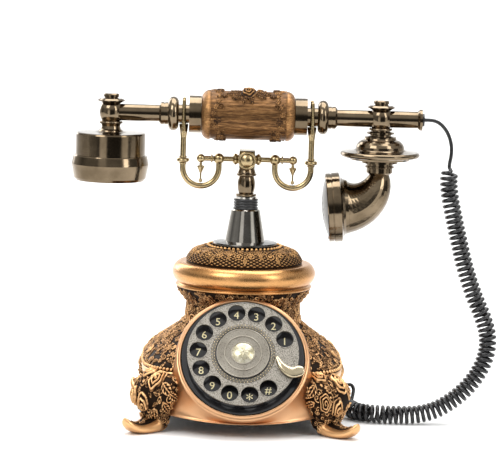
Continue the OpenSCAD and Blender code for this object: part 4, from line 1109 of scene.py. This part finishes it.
def make_stop_cap():
    """Rounded upper side of the finger stop: a comma, thin at its tip and broad at its foot."""
    spots = np.array([(24.5, -2.9, 1.0), (29, -10.6, 2.6), (35.5, -14.7, 3.8), (40.7, -13.5, 4.2)])
    line = smooth_curve(np.c_[spots[:, :2], np.zeros(4)], 0.3)
    n = len(line)
    keys = np.linspace(0, 1, 4)
    t = np.linspace(0, 1, n)
    half = np.interp(t, keys, spots[:, 2])
    ahead = unit_tangents(line)
    side = np.cross([0, 0, 1.0], ahead)
    tail = np.arange(1, 13) / 12 * math.pi / 2
    line = np.vstack([line, line[-1] + np.outer(np.sin(tail), ahead[-1]) * half[-1]])
    half = np.concatenate([half, half[-1] * np.cos(tail)])
    side = np.vstack([side, np.repeat(side[-1:], 12, 0)])
    a = np.linspace(0, math.pi, 17)
    rise = 10.3 + np.minimum(1.5, 0.6 * half)[:, None] * np.sin(a)[None] ** 0.8
    points = line[:, None] + side[:, None] * (half[:, None] * np.cos(a))[..., None]
    points[..., 2] = rise
    grid_object("stop_cap", on_dial(points), "base", M["stop"], wrap=False)


def make_medallion():
    """Shallow domed medallion with a plain eight-pointed star in relief."""
    rows, cols = 70, 200
    r = np.linspace(8.4, 0.02, rows)
    phi = np.arange(cols) * TAU / cols
    dome = 9.3 + 2.4 * (1 - (r / 8.4) ** 2)
    star = np.clip(np.cos(8 * phi)[None] * 0.5 + 0.5 - (r[:, None] / 8.0) ** 1.2, 0, 1)
    z = dome[:, None] + 0.12 * star
    points = np.stack([r[:, None] * np.cos(phi), r[:, None] * np.sin(phi), z], -1)
    grid_object("medallion", on_dial(points), "finger_wheel", M["pearl"])


def make_cap_rings():
    """Turned ring around each round cap of the cradle's cross block."""
    low, high = box_mm("boss_caps")
    for i, (y, sign) in enumerate(((low[1], 1), (high[1], -1))):
        place = Matrix.Translation((0, y + sign * 2.4, (low[2] + high[2]) / 2))
        place = place @ Matrix.Rotation(math.pi / 2, 4, "X")
        lathe(f"cap_ring_{i + 1}", oval(5.9, 0, 0.9, 0.8, 14), "cradle", M["hook"], 64, place)


FLANGE_H = 2.6


def dress_cad():
    """Materials of the CAD nodes that stay as they are."""
    dress = {
        "brass": ["grip_ferrules", "tube_collars", "spine_tube", "receiver_joint", "transmitter_joint",
                  "cap_nuts", "receiver_shell", "ear_cap", "transmitter_bell", "transmitter_neck",
                  "transmitter_horn",
                  "mouthpiece_ring", "end_tube", "cradle_post"],
        "dark_brass": ["mouth_grille"],
        "hook": ["cradle_block", "boss_caps", "cradle_arm_left", "cradle_arm_right", "arm_pendants"],
        "nickel": ["post_cone"],
        "bright": ["collar_ring"],
        "black": ["hook_switch", "handset_jack", "line_jack", "ringer_switch", "receiver_capsule",
                  "microphone_capsule", "end_plug", "pulse_contacts", "bottom_plate"],
        "gloss": ["dial_housing", "number_plate"],
        "silver": ["finger_plate"],
        "disc": ["center_disc"],
        "stop": ["finger_stop"],
        "steel": ["case_screws", "ballast_weight", "dial_frame", "return_spring", "hook_bracket",
                  "ringer_frame", "switch_lever", "dial_shaft", "ringer_clapper", "plunger_spring"],
        "yellow": ["main_gear", "ringer_gongs", "governor_rotor"],
        "board": ["circuit_board"],
        "copper": ["ringer_coil"],
        "rubber": ["rubber_feet"],
        "clear": ["cord_plug"],
    }
    for key, nodes in dress.items():
        for node in nodes:
            obj = bpy.data.objects[node]
            obj.data.materials.clear()
            obj.data.materials.append(M[key])
    darken_flange()


def darken_flange():
    """Darker nickel on the cone's foot, whose faces all end at the flange's top or below."""
    cone = bpy.data.objects["post_cone"]
    cone.data.materials.append(M["flange"])
    corners = [cone.matrix_world @ v.co for v in cone.data.vertices]
    flange_top = min(v.z for v in corners) + FLANGE_H * MM
    for face in cone.data.polygons:
        face.material_index = int(all(corners[v].z < flange_top for v in face.vertices))


make_base()
make_crown()
make_grip()
make_collar()
make_digits()
make_dial_trim()
make_stop_cap()
make_cap_rings()
make_medallion()
dress_cad()
